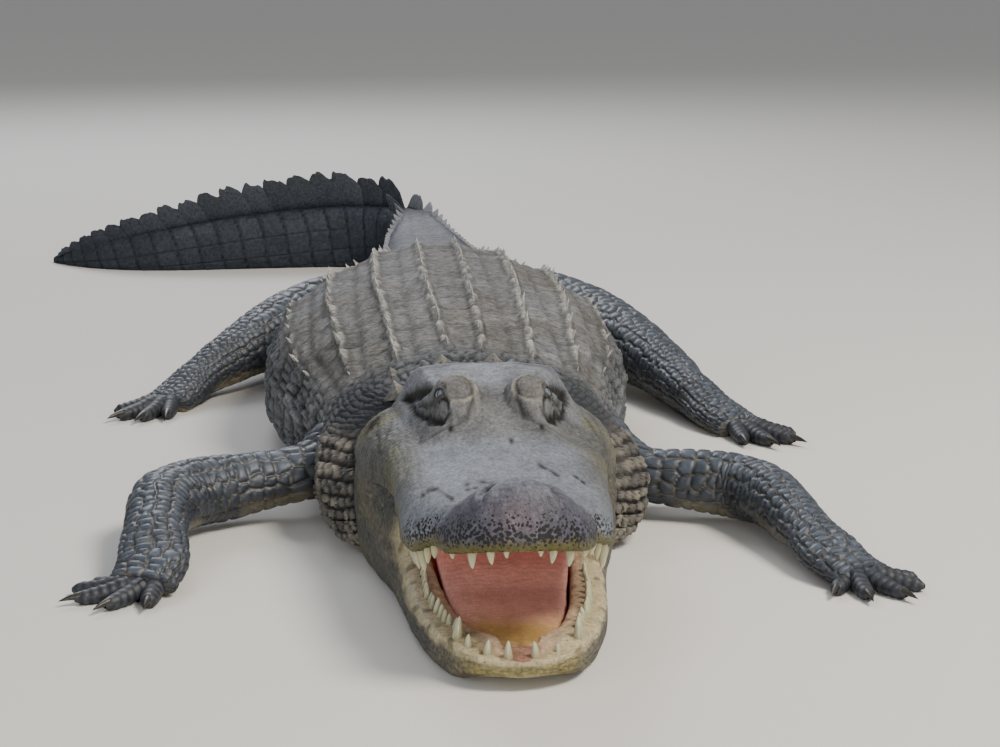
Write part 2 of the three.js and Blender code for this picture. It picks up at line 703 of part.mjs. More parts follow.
// A toe: a slim pad that lies on the ground, with a hooked claw on the inner three.
function toe(root, heading, length, radius, clawed) {
  const way = new THREE.Vector3(Math.sin(heading), -Math.cos(heading), 0);
  const side = new THREE.Vector3(-way.y, way.x, 0);
  const ring = (reach, height, r, count) => {
    const centre = root.clone().addScaledVector(way, reach);
    return range(count).map((k) => {
      const turn = (2 * Math.PI * k) / count;
      const z = Math.max(height + r * Math.sin(turn), 0);
      return centre.clone().addScaledVector(side, r * Math.cos(turn)).setZ(z);
    });
  };
  const pad = loft([
    ring(0, radius * 0.9, radius, 7),
    ring(0.45 * length, radius * 0.85, radius, 7),
    ring(0.88 * length, radius * 0.62, radius * 0.76, 7),
    ring(length, radius * 0.6, radius * 0.4, 7),
  ]);
  if (!clawed) return [pad];
  const claw = loft([
    ring(0.84 * length, radius * 0.85, radius * 0.5, 5),
    ring(length + 1.2 * radius, radius * 0.68, radius * 0.4, 5),
    ring(length + 2.8 * radius, radius * 0.2, radius * 0.12, 5),
  ]);
  return [pad, claw];
}

// A hand or foot: the limb's last stretch widened to a flat palm, with toes spread round its front.
function paw({ path, sizes, from, toes, toeRadius, side }) {
  const palm = loft(limbRings(path, sizes, from, 1, 6));
  const [x, y] = path.at(-1);
  const middle = toes.reduce((sum, { way }) => sum + way, 0) / toes.length;
  const digits = toes.flatMap(({ way, length, clawed }) => {
    const turn = side * degrees(way);
    const fan = side * degrees(way - middle);
    const root = new THREE.Vector3(x - 20 * Math.sin(turn) + 16 * Math.sin(fan), y + 24 * Math.cos(turn), 0);
    return toe(root, turn, length + 20, toeRadius, clawed);
  });
  return fuse(palm, digits);
}

const rightArmSizes = [
  [0, 60, 56], [0.18, 48, 44], [0.32, 33, 30], [0.48, 36, 34], [0.62, 38, 36], [0.8, 31, 26], [0.92, 35, 17],
  [1, 34, 13],
];
const leftArmSizes = [
  [0, 60, 56], [0.18, 46, 42], [0.34, 31, 29], [0.52, 33, 34], [0.66, 31, 31], [0.82, 26, 21],
  [0.92, 34, 16], [1, 34, 12],
];
const legSizes = [
  [0, 60, 60], [0.16, 60, 60], [0.26, 56, 56], [0.42, 54, 50], [0.56, 44, 45], [0.7, 37, 35], [0.83, 29, 27],
  [0.93, 34, 18], [1, 33, 14],
];
// Each toe's way from straight ahead round to the outside, in degrees, and its length
const rightHandToes = [
  { way: 6, length: 50, clawed: true },
  { way: 38, length: 66, clawed: true },
  { way: 68, length: 70, clawed: true },
  { way: 98, length: 64, clawed: false },
  { way: 128, length: 50, clawed: false },
];
const leftHandToes = [
  { way: -28, length: 46, clawed: true },
  { way: 2, length: 62, clawed: true },
  { way: 30, length: 68, clawed: true },
  { way: 60, length: 60, clawed: false },
  { way: 92, length: 46, clawed: false },
];
const footToes = [
  { way: 2, length: 66, clawed: true },
  { way: 22, length: 84, clawed: true },
  { way: 42, length: 88, clawed: true },
  { way: 64, length: 68, clawed: false },
];

const limbs = [
  {
    names: ["arm_upper_right", "forearm_right", "hand_right"],
    side: -1,
    path: [
      [-60, 700, 92], [-130, 652, 74], [-183, 604, 54], [-257, 577, 45], [-312, 545, 44],
      [-347, 492, 44], [-350, 394, 38], [-348, 335, 24], [-356, 300, 12],
    ],
    sizes: rightArmSizes,
    parts: [0.52, 0.82],
    steps: [8, 6],
    toes: rightHandToes,
    toeRadius: 11,
  },
  {
    names: ["arm_upper_left", "forearm_left", "hand_left"],
    side: 1,
    path: [
      [60, 700, 92], [134, 644, 72], [191, 577, 50], [258, 552, 45], [305, 528, 42],
      [331, 469, 42], [344, 388, 35], [362, 322, 22], [384, 282, 11],
    ],
    sizes: leftArmSizes,
    parts: [0.52, 0.83],
    steps: [8, 6],
    toes: leftHandToes,
    toeRadius: 10.5,
  },
  {
    names: ["thigh_right", "shank_right", "foot_right"],
    side: -1,
    path: [
      [-30, 1430, 92], [-96, 1462, 90], [-160, 1474, 84], [-214, 1444, 75], [-259, 1376, 65],
      [-304, 1306, 52], [-345, 1254, 37], [-376, 1206, 22], [-400, 1160, 11],
    ],
    sizes: legSizes,
    parts: [0.58, 0.82],
    steps: [8, 6],
    toes: footToes,
    toeRadius: 12.5,
  },
  {
    names: ["thigh_left", "shank_left", "foot_left"],
    side: 1,
    path: [
      [30, 1430, 92], [106, 1464, 90], [180, 1452, 84], [238, 1372, 74], [282, 1253, 60],
      [313, 1162, 46], [334, 1080, 34], [359, 1009, 21], [384, 952, 11],
    ],
    sizes: legSizes,
    parts: [0.55, 0.81],
    steps: [8, 6],
    toes: footToes,
    toeRadius: 12.5,
  },
];

// Assembly

node("head", head, HEAD_HIDE);
node("lower_jaw", lowerJaw, JAW_HIDE);
node("tongue", tongue, TONGUE_FLESH);
node("eye_right", ball(eyeCentre(-1), EYE.radius), EYE_GLASS);
node("eye_left", ball(eyeCentre(1), EYE.radius), EYE_GLASS);
node("neck", neck, BACK_HIDE);
node("torso", torso, BACK_HIDE);

const tailSplits = [0, 7, 13, mergeWhorl, mergeWhorl + 5, mergeWhorl + 10, whorls.length - 1];
const tailClearance = tailLength(0, tailSplits[1], GAP);
tailSplits.slice(1).forEach((last, i) => {
  node(`tail_${i + 1}`, tailLength(tailSplits[i], last), TAIL_HIDE);
});

for (const limb of limbs) {
  const { path, sizes, parts, steps, names } = limb;
  const share = GAP / 900; // the gap as a share of a limb's length
  const upper = loft(limbRings(path, sizes, 0, parts[0] - share, steps[0]));
  node(names[0], carve(upper, [torsoClearance, neckClearance, tailClearance]), LIMB_HIDE);
  node(names[1], loft(limbRings(path, sizes, parts[0], parts[1] - share, steps[1])), LIMB_HIDE);
  node(names[2], paw({ ...limb, from: parts[1] }), LIMB_HIDE);
}

// The origin is on the ground under the middle of the model.
const middle = new THREE.Box3().setFromObject(group).getCenter(new THREE.Vector3());
group.position.set(-middle.x, -middle.y, 0);

export default group;
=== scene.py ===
"""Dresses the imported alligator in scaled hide, with separate eyes, lids, teeth, claws, keels, nuchal scutes
and tail crests.

Shapes are worked out in millimetres in the animal's own frame and moved to the model's frame in metres.
s is the distance back along the spine from the snout tip. x is the animal's left, and z is up.
Each surface is a grid of points, rows by columns, worked out for all points at once.
"""
import math

import bpy
import numpy as np
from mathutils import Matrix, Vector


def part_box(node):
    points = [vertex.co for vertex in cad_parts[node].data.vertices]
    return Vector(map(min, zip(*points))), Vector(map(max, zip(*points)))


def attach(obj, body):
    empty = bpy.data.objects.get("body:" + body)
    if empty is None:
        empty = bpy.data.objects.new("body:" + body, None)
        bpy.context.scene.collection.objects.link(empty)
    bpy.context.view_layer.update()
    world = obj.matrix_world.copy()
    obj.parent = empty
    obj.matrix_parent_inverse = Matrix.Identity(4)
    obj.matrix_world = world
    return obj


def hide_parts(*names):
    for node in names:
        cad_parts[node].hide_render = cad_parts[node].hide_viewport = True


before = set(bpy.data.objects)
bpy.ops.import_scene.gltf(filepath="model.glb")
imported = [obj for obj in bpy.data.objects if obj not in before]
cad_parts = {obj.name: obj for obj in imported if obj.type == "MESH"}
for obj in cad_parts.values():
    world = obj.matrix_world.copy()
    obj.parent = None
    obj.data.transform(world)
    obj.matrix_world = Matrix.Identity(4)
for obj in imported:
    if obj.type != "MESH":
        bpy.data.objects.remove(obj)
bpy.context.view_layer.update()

FINE = 1.0  # share of the full number of rows and columns

# From the animal's frame to the model's: the head's solid stands on its middle line and starts just
# behind the snout tip
head_low, head_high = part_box("head")
HEAD_SOLID_START = 0.6
SHIFT_X = 500 * (head_low[0] + head_high[0])
SHIFT_Y = 1000 * head_low[1] - HEAD_SOLID_START

# Small tools


def profile(points):
    """Smooth curve through [station, value] pairs: a cubic between each two, whose slope at a pair is the
    harmonic mean of the slopes beside it, so that it never overshoots."""
    xs, ys = np.array(points, float).T
    steps = np.diff(xs)
    slopes = np.diff(ys) / steps
    tangents = np.concatenate([slopes[:1], slopes[1:], slopes[-1:]])
    before, after = slopes[:-1], slopes[1:]
    product = before * after
    total = np.where(product > 0, before + after, 1)
    tangents[1:-1] = np.where(product > 0, 2 * product / total, 0)

    def curve(s):
        s = np.clip(np.asarray(s, float), xs[0], xs[-1])
        i = np.clip(np.searchsorted(xs, s, side="right") - 1, 0, len(steps) - 1)
        t = (s - xs[i]) / steps[i]
        return (
            ys[i] * (1 + 2 * t) * (1 - t) ** 2
            + tangents[i] * steps[i] * t * (1 - t) ** 2
            + ys[i + 1] * t**2 * (3 - 2 * t)
            + tangents[i + 1] * steps[i] * t**2 * (t - 1)
        )

    return curve


def smoothstep(start, end, t):
    """0 up to start and 1 from end on, with 3 u squared less 2 u cubed between them."""
    u = np.clip((t - start) / (end - start), 0, 1)
    return u * u * (3 - 2 * u)


def mound(ds, dx):
    """1 in the middle of a round rise and 0 at its edge."""
    return np.maximum(0, 1 - ds * ds - dx * dx) ** 1.5


def bell(distance, width):
    """1 at distance 0, and the exponential of minus the square of distance over width away from it."""
    return np.exp(-((distance / width) ** 2))


def chance(i, j, seed):
    """A repeatable number from 0 to 1 for each whole pair i, j."""
    wave = np.sin(i * 127.1 + j * 311.7 + seed * 74.7) * 43758.5453
    return wave - np.floor(wave)


def ripple(u, v, seed):
    """Smooth random field from -1 to 1 that changes over about one unit of u and v."""
    i, j = np.floor(u), np.floor(v)
    a, b = smoothstep(0, 1, u - i), smoothstep(0, 1, v - j)
    low = chance(i, j, seed) * (1 - a) + chance(i + 1, j, seed) * a
    high = chance(i, j + 1, seed) * (1 - a) + chance(i + 1, j + 1, seed) * a
    return 2 * (low * (1 - b) + high * b) - 1


def scales(u, v, seed, spread=0.7):
    """Cells of about one unit: how far inside its own cell each point lies, 0 on a seam and up to about 1
    in the middle, and a number from 0 to 1 for its cell."""
    i, j = np.floor(u), np.floor(v)
    near = np.full(np.broadcast(u, v).shape, 9.0)
    next_near = near.copy()
    cell = np.zeros_like(near)
    for di in (-1, 0, 1):
        for dj in (-1, 0, 1):
            ci, cj = i + di, j + dj
            x = ci + 0.5 + spread * (chance(ci, cj, seed) - 0.5)
            y = cj + 0.5 + spread * (chance(ci, cj, seed + 1) - 0.5)
            distance = np.hypot(u - x, v - y)
            closer = distance < near
            next_near = np.where(closer, near, np.minimum(next_near, distance))
            cell = np.where(closer, chance(ci, cj, seed + 2), cell)
            near = np.where(closer, distance, near)
    return np.clip((next_near - near) * 1.6, 0, 1), cell


def path_distance(s, x, path, squash=1.0):
    """Distance from each point to a line through a few places, and the share of the way along it. Lengths
    along s count by a share squash, so a mark keeps an even width where the head is seen almost along it."""
    best = np.full(np.broadcast(s, x).shape, 1e3)
    share = np.zeros_like(best)
    for k, ((s0, x0), (s1, x1)) in enumerate(zip(path, path[1:])):
        ds, dx = squash * (s1 - s0), x1 - x0
        t = np.clip((squash * (s - s0) * ds + (x - x0) * dx) / (ds * ds + dx * dx), 0, 1)
        distance = np.hypot(squash * (s - s0) - t * ds, x - x0 - t * dx)
        share = np.where(distance < best, (k + t) / (len(path) - 1), share)
        best = np.minimum(best, distance)
    return best, share


def linear(code):
    """A colour given as six hexadecimal sRGB digits, in linear light."""
    parts = np.array([int(code[k : k + 2], 16) for k in (0, 2, 4)]) / 255
    return np.where(parts <= 0.04045, parts / 12.92, ((parts + 0.055) / 1.055) ** 2.4)


def blend(a, b, share):
    """Colour a where share is 0 and colour b where it is 1."""
    return a + (b - a) * np.asarray(share)[..., None]


# Meshes from grids


def grid_normals(grid):
    """Outward normals of a grid of closed rings, from the cross product of its two directions."""
    across = np.roll(grid, -1, 1) - np.roll(grid, 1, 1)
    along = np.gradient(grid, axis=0)
    normal = np.cross(across, along)
    length = np.linalg.norm(normal, axis=2, keepdims=True)
    normal = normal / np.maximum(length, 1e-9)
    outward = grid - grid.mean(axis=1, keepdims=True)
    return -normal if (normal * outward).sum() < 0 else normal


def grid_faces(rows, columns):
    """Corner numbers of the four-sided faces between closed rings, and the same for the unwrapped UV grid,
    which has one column more."""
    i, j = np.meshgrid(np.arange(rows - 1), np.arange(columns), indexing="ij")
    right = (j + 1) % columns
    quads = [i * columns + j, i * columns + right, (i + 1) * columns + right, (i + 1) * columns + j]
    flat = columns + 1
    places = [i * flat + j, i * flat + j + 1, (i + 1) * flat + j + 1, (i + 1) * flat + j]
    return np.stack(quads, -1).reshape(-1, 4), np.stack(places, -1).reshape(-1, 4)


# The head is held a little to its left: how far each station of it moves over. The hands, which lie
# farther out, stay where they are.
head_turn = profile([[-6, 7.5], [200, 7], [330, 5.5], [445, 3], [640, 0]])
TURN_FADE = (185, 260)


def mesh_piece(name, points, quads, uvs, tint, material, replaced=(), triangles=None,
               normals=None):
    """A smooth mesh object from arrays. points are in millimetres in the animal's frame, uvs has one place
    per face corner, and tint has red, green, blue and roughness per point, and may add the spots there."""
    place = (points + np.array([SHIFT_X, SHIFT_Y, 0])) / 1000
    near_axis = 1 - smoothstep(*TURN_FADE, np.abs(points[:, 0]))
    place[:, 0] += head_turn(points[:, 1]) * near_axis / 1000
    place[:, 2] = np.maximum(place[:, 2], 0)
    triangles = np.zeros((0, 3), int) if triangles is None else triangles
    corners = np.concatenate([quads.ravel(), triangles.ravel()])
    starts = np.concatenate([np.arange(len(quads)) * 4, len(quads) * 4 + np.arange(len(triangles)) * 3])
    mesh = bpy.data.meshes.new(name)
    mesh.vertices.add(len(place))
    mesh.vertices.foreach_set("co", place.astype(np.float32).ravel())
    mesh.loops.add(len(corners))
    mesh.loops.foreach_set("vertex_index", corners.astype(np.int32))
    mesh.polygons.add(len(starts))
    mesh.polygons.foreach_set("loop_start", starts.astype(np.int32))
    mesh.polygons.foreach_set("use_smooth", np.ones(len(starts), bool))
    mesh.update(calc_edges=True)
    mesh.uv_layers.new(name="OFBake").data.foreach_set("uv", uvs.astype(np.float32).ravel())
    colours = mesh.color_attributes.new("tint", "FLOAT_COLOR", "POINT")
    colours.data.foreach_set("color", np.clip(tint[:, :4], 0, 1).astype(np.float32).ravel())
    spots = tint[:, 4] if tint.shape[1] > 4 else np.zeros(len(tint))
    mesh.attributes.new("spots", "FLOAT", "POINT").data.foreach_set("value", spots.astype(np.float32))
    mesh.materials.append(material)
    if normals is not None:
        mesh.normals_split_custom_set_from_vertices(normals.astype(np.float32))
    piece = bpy.data.objects.new(name, mesh)
    bpy.context.scene.collection.objects.link(piece)
    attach(piece, "root")
    if replaced:
        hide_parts(*replaced)
    return piece


UV_EDGE = 0.004  # bare border round an unwrapped grid
UV_FAN = 0.003  # how far the fan of a capped end reaches into it


def grid_piece(name, grid, tint, material, replaced=(), caps=(False, False), normals=None):
    """A grid of closed rings as one piece. A capped end is closed by a fan to the middle of its ring."""
    rows, columns = grid.shape[:2]
    quads, spots = grid_faces(rows, columns)
    flat = columns + 1
    v, u = np.meshgrid(np.linspace(UV_EDGE, 1 - UV_EDGE, rows), np.linspace(UV_EDGE, 1 - UV_EDGE, flat),
                       indexing="ij")
    places = np.stack([u.ravel(), v.ravel()], -1)
    uvs = [places[spots.ravel()]]
    points = grid.reshape(-1, 3)
    colours = tint.reshape(rows * columns, -1)
    fans = []
    for end, capped in enumerate(caps):
        if not capped:
            continue
        row = (rows - 1) * end
        pole = len(points)
        points = np.vstack([points, grid[row].mean(0)])
        colours = np.vstack([colours, tint[row].mean(0)])
        j = np.arange(columns)
        ring = [row * columns + j, row * columns + (j + 1) % columns]
        fan = np.stack([ring[1 - end], ring[end], np.full(columns, pole)], -1)
        fans.append(fan)
        edge = np.full(columns, places[row * flat, 1])
        tip = edge + (UV_FAN if end else -UV_FAN)
        first, second = places[j, 0], places[j + 1, 0]
        sides = (second, first) if end == 0 else (first, second)
        uvs.append(np.stack([sides[0], edge, sides[1], edge, (first + second) / 2, tip], -1).reshape(-1, 2))
    triangles = np.vstack(fans) if fans else None
    across = points[quads[:, 1]] - points[quads[:, 0]]
    along = points[quads[:, 3]] - points[quads[:, 0]]
    middle = grid.mean(axis=1)[quads[:, 0] // columns]
    if (np.cross(across, along) * (points[quads[:, 0]] - middle)).sum() < 0:
        quads = quads[:, ::-1]
        uvs[0] = places[spots[:, ::-1].ravel()]
        if triangles is not None:
            triangles = triangles[:, ::-1]
            uvs[1:] = [patch.reshape(-1, 3, 2)[:, ::-1].reshape(-1, 2) for patch in uvs[1:]]
    if normals is not None:
        poles = [normals[(rows - 1) * end].mean(0)[None] for end, capped in enumerate(caps) if capped]
        normals = np.vstack([normals.reshape(-1, 3)] + poles)
    return mesh_piece(name, points, quads, np.vstack(uvs), colours, material, replaced, triangles,
                      normals)


def many_piece(name, grids, tints, material):
    """Many small closed grids, an array of pieces by rows by columns, as one mesh. In the UV map each has
    a square of its own."""
    count, rows, columns = grids.shape[:3]
    quads, spots = grid_faces(rows, columns)
    middle = grids.mean(axis=2, keepdims=True)
    a = np.roll(grids, -1, 2) - grids
    b = np.gradient(grids, axis=1)
    inward = (np.cross(a, b) * (grids - middle)).sum(axis=(1, 2, 3)) < 0
    each = quads[None] + (np.arange(count) * rows * columns)[:, None, None]
    each[inward] = each[inward][:, :, ::-1]
    v, u = np.meshgrid(np.linspace(0, 1, rows), np.linspace(0, 1, columns + 1), indexing="ij")
    unit = np.stack([u.ravel(), v.ravel()], -1)[spots]
    side = int(math.ceil(math.sqrt(count)))
    number = np.arange(count)
    corner = np.stack([number % side, number // side], -1)[:, None, None, :]
    uv = (corner + 0.05 + 0.9 * unit[None]) / side
    uv[inward] = uv[inward][:, :, ::-1]
    return mesh_piece(name, grids.reshape(-1, 3), each.reshape(-1, 4), uv.reshape(-1, 2),
                      tints.reshape(-1, 4), material)


# Materials


def add(tree, kind, links=(), **settings):
    """A node with its settings, where in_ marks an input socket, and links from (node, output) to its
    inputs."""
    node = tree.nodes.new(kind)
    for key, value in settings.items():
        if key.startswith("in_"):
            node.inputs[key[3:].replace("_", " ")].default_value = value
        else:
            setattr(node, key, value)
    for socket, (source, output) in dict(links).items():
        tree.links.new(source.outputs[output], node.inputs[socket])
    return node


def map_range(tree, source, low, high, to_low, to_high):
    """A node that carries the range low..high of a source to to_low..to_high."""
    node = add(tree, "ShaderNodeMapRange", {"Value": source})
    for socket, value in zip(("From Min", "From Max", "To Min", "To Max"), (low, high, to_low, to_high)):
        node.inputs[socket].default_value = value
    return node


SPOTS_PER_METRE = 290  # the round black spots lie about 3.5 mm apart
SPOT_BLACK = linear("1b191b")
SPOT_EDGE = (-0.3, -0.22)  # how far past a spot's ragged rim its black fades in
NOISE_SPAN = (0.34, 0.66)  # the part of the noise that the mottling is drawn from


def surface_material(name, grain_mm, grain_depth, pebble_mm=0, pebble_depth=0, mottle=(0.62, 1.34),
                     stretch=(1, 1, 1), **settings):
    """Hide, flesh or horn. The tint attribute gives its colour and roughness. A noise of grain_mm is the
    grain, which lightens and darkens the colour by mottle, and a cell pattern of pebble_mm the smallest
    scales, both as bump of the given depth in millimetres. stretch makes them finer along an axis. The
    spots attribute gives the size of the black spots there."""
    material = bpy.data.materials.new(name)
    material.use_nodes = True
    tree = material.node_tree
    shader = tree.nodes["Principled BSDF"]
    for key, value in settings.items():
        shader.inputs[key.replace("_", " ")].default_value = value
    tint = add(tree, "ShaderNodeAttribute", attribute_name="tint")
    place = add(tree, "ShaderNodeTexCoord")
    where = add(tree, "ShaderNodeMapping", {"Vector": (place, "Object")}, in_Scale=stretch)
    grain = add(tree, "ShaderNodeTexNoise", {"Vector": (where, "Vector")}, in_Scale=1000 / grain_mm,
                in_Detail=5.0, in_Roughness=0.76)
    level = map_range(tree, (grain, "Fac"), *NOISE_SPAN, *mottle)
    colour = add(tree, "ShaderNodeVectorMath", {0: (tint, "Color"), "Scale": (level, "Result")},
                 operation="SCALE")
    cover = add(tree, "ShaderNodeAttribute", attribute_name="spots")
    dots = add(tree, "ShaderNodeTexVoronoi", {"Vector": (place, "Object")}, in_Scale=SPOTS_PER_METRE)
    ragged = add(tree, "ShaderNodeMath", {0: (grain, "Fac"), 2: (dots, "Distance")},
                 operation="MULTIPLY_ADD")
    ragged.inputs[1].default_value = 0.5
    shown = add(tree, "ShaderNodeMath", {0: (cover, "Fac"), 1: (ragged, "Value")}, operation="SUBTRACT")
    share = map_range(tree, (shown, "Value"), *SPOT_EDGE, 0, 1)
    mixer = add(tree, "ShaderNodeMix", {"Factor": (share, "Result"), 6: (colour, "Vector")}, data_type="RGBA")
    mixer.inputs[7].default_value = (*SPOT_BLACK, 1)
    tree.links.new(mixer.outputs[2], shader.inputs["Base Color"])
    tree.links.new(tint.outputs["Alpha"], shader.inputs["Roughness"])
    bump = add(tree, "ShaderNodeBump", {"Height": (grain, "Fac")}, in_Distance=grain_depth / 1000,
               in_Strength=1.0)
    if pebble_mm:
        pebbles = add(tree, "ShaderNodeTexVoronoi", {"Vector": (where, "Vector")}, in_Scale=1000 / pebble_mm,
                      feature="SMOOTH_F1")
        bump = add(tree, "ShaderNodeBump", {"Height": (pebbles, "Distance"), "Normal": (bump, "Normal")},
                   in_Distance=pebble_depth / 1000, in_Strength=1.0, invert=True)
    tree.links.new(bump.outputs["Normal"], shader.inputs["Normal"])
    return material


# Hide is scales of horn that grow in a thick skin. Their real grain is finer than a millimetre and wouldn't
# show, so it is drawn at 3.6 to 7 mm.
# The back's plates are dried and worn by sun and grit: they scatter light and hardly shine.
BODY_HIDE = surface_material("dry keeled back hide", 7, 1.2, 5, 0.7, (0.45, 1.5), (0.9, 1.8, 1.4),
                             Specular_IOR_Level=0.2)
# The neck's round scales flex with the skin, and each has a soft dull light on its crown.
NECK_HIDE = surface_material("pebbly neck hide", 5, 0.5, mottle=(0.7, 1.3), Specular_IOR_Level=0.3)
# The tail's tall plates stay dark and closer grained, with a dull light on their rims.
TAIL_HIDE = surface_material("dark tail hide", 6, 0.8, 6, 0.5, (0.5, 1.5), Specular_IOR_Level=0.3)
# The legs' scales are smooth and many-sided: each catches one soft light, so it looks damp.
LIMB_HIDE = surface_material("slate leg hide", 5, 0.35, mottle=(0.7, 1.3), Specular_IOR_Level=0.45)
# On the head thin hide lies tight over the skull, cracked into fine grains that look chalky.
HEAD_HIDE = surface_material("fine grained head hide", 3.6, 0.6, 2.6, 0.4, (0.55, 1.42), Specular_IOR_Level=0.3)
# The jaw's hide is set with small pebbles that break up its light.
JAW_HIDE = surface_material("pebbled jaw hide", 4, 0.5, 3.2, 0.5, (0.65, 1.3), Specular_IOR_Level=0.3)
# The mouth's lining is moist and full of blood: light goes a little way in, and a thin film shines on it.
FLESH = surface_material("moist mouth lining", 4, 0.3, 2.5, 0.25, (0.86, 1.14), Coat_Weight=0.3,
                         Coat_Roughness=0.2, Subsurface_Weight=0.15, Subsurface_Radius=(0.012, 0.004, 0.003))
# Enamel is hard and polished by use, with small sharp lights.
TOOTH = surface_material("tooth enamel", 8, 0.2, mottle=(0.85, 1.1), Coat_Weight=0.4, Coat_Roughness=0.15)
# A claw is dense dark horn, worn to a satin.
CLAW = surface_material("dark horn claw", 5, 0.4)
# Keels, scutes and crests are thick horn, weathered rough and pale along the edge.
HORN = surface_material("weathered horn plate", 5, 1.0, mottle=(0.45, 1.5), Specular_IOR_Level=0.25)

# Spine and trunk, from the same sizes as the solids

TOTAL_LENGTH = 3200
HEAD_END = 445
NECK_END = 640
TORSO_END = 1562
CREST_MERGE = 2440
SPINE_STEP = 5

sway = profile([[445, 0], [700, -6], [950, -13], [1250, -9], [1600, 0]])


TAIL_BEND, TIP_CURL = math.radians(96), math.radians(56)


def heading(s):
    """How far the spine has turned: the tail swings round, and its tip curls part of the way back."""
    return TAIL_BEND * smoothstep(2290, 2650, s) - TIP_CURL * smoothstep(2850, 3240, s)


spine_stations = np.arange(0, TOTAL_LENGTH + 3 * SPINE_STEP, SPINE_STEP)
spine_steps = heading(spine_stations[:-1] + SPINE_STEP / 2)
spine_x = np.concatenate([[0], -np.cumsum(SPINE_STEP * np.sin(spine_steps))])
spine_y = np.concatenate([[0], np.cumsum(SPINE_STEP * np.cos(spine_steps))])


def from_spine(s, across, z):
    """The point at height z, across from the spine towards the animal's left."""
    turn = heading(s)
    x = np.interp(s, spine_stations, spine_x) + sway(s) + across * np.cos(turn)
    y = np.interp(s, spine_stations, spine_y) + across * np.sin(turn)
    return np.stack(np.broadcast_arrays(x, y, z), -1)


half_width = profile([
    [445, 172], [495, 185], [560, 180], [640, 173], [720, 184], [840, 216], [960, 234], [1060, 236],
    [1200, 218], [1330, 176], [1450, 142], [1562, 116], [1700, 100], [1850, 86], [2050, 72],
    [2250, 56], [2450, 44], [2650, 34], [2850, 26], [3000, 19], [3120, 12], [3200, 4],
])
back_height = profile([
    [445, 184], [500, 176], [560, 170], [640, 178], [740, 194], [860, 212], [980, 220], [1120, 218],
    [1280, 208], [1420, 194], [1562, 172], [1700, 158], [1900, 144], [2150, 132], [2400, 126],
    [2600, 122], [2740, 112], [2860, 96], [2960, 78], [3060, 56], [3140, 34], [3200, 12],
])
wide_share = profile([[445, 0.3], [900, 0.3], [1300, 0.34], [1700, 0.44], [3200, 0.46]])
back_flatness = profile([
    [445, 0.95], [640, 0.74], [1300, 0.8], [1562, 0.62], [1900, 0.5], [2350, 0.55], [2600, 0.85], [3200, 1],
])
BELLY_ROUND = 0.7
BELLY_SINK = 12


def section(s, angle):
    """Across and height of the trunk's outline at an angle from the top, 0, to the belly, pi:
    the sine gives the width, and a power of the cosine rounds the back and the belly."""
    wide, top = half_width(s), back_height(s)
    middle = wide_share(s) * top
    cosine = np.cos(angle)
    above = middle + (top - middle) * np.maximum(cosine, 0) ** back_flatness(s)
    below = middle - (middle + np.minimum(BELLY_SINK, 0.2 * middle)) * np.maximum(-cosine, 0) ** BELLY_ROUND
    return wide * np.sin(angle), np.where(cosine >= 0, above, below)


def trunk_point(s, angle, lift=0.0):
    """A place on the trunk, lifted off it square to its outline. Nothing goes below the ground."""
    x, z = section(s, angle)
    x0, z0 = section(s, angle - 0.02)
    x1, z1 = section(s, angle + 0.02)
    length = np.hypot(x1 - x0, z1 - z0)
    return from_spine(np.minimum(s, TOTAL_LENGTH), x - lift * (z1 - z0) / length,
                      np.maximum(z + lift * (x1 - x0) / length, 0))


def angle_at(s, offset, share):
    """The angle round the trunk at an offset from the spine, of at most a share of the half width."""
    return np.arcsin(np.clip(np.minimum(offset / half_width(s), share), -1, 1))


# Sizes of the head and jaws

MOUTH_CORNER = 292
HEAD_LENGTH = 440
GAP = 0.3
upper_width = profile([
    [0, 0], [3, 22], [10, 41], [22, 56], [40, 67], [62, 73], [78, 73.5], [96, 84], [120, 96], [150, 101],
    [200, 107], [250, 115], [300, 123], [350, 130], [400, 136], [445, 138],
])
lip_tuck = profile([[150, 0], [200, 4], [250, 11], [290, 18], [330, 12], [370, 0], [445, 0]])
upper_height = profile([
    [0, 10], [4, 26], [12, 40], [30, 52], [60, 48], [90, 42], [130, 42], [180, 47], [230, 55], [265, 65],
    [300, 79], [335, 94], [380, 103], [430, 107], [445, 104],
])
table_half = profile([[260, 54], [330, 60], [380, 70], [440, 80]])
lower_width = profile([
    [-6, 0], [-3, 22], [6, 41], [22, 56], [48, 69], [82, 80], [130, 91], [180, 98], [250, 106], [300, 116],
    [350, 128], [400, 138], [445, 140],
])
rim_height = profile([
    [-6, 28], [50, 37], [110, 36], [200, 43], [240, 50], [265, 68], [280, 88], [MOUTH_CORNER, 100], [445, 104],
])
festoon = profile([[0, 8], [18, 3], [45, -2], [78, -1], [96, -8], [122, -17], [150, -15], [200, -6], [250, -3],
                   [290, 0], [445, 0]])
LIP_BAND = 9
EYE_S, EYE_ACROSS, EYE_RADIUS = 331, 57, 12


def jaw_line(s):
    """The straight line that the lips wave about, which rises towards the snout tip."""
    return 121 - 31 * s / HEAD_LENGTH


def lip_height(s):
    """Lower edge of the upper lip: it waves about the jaw's line, and rests on the lower jaw behind the
    mouth's corner."""
    rim = rim_height(s) + GAP
    return np.where(s < MOUTH_CORNER - 0.01, np.maximum(jaw_line(s) + festoon(s), rim), rim)


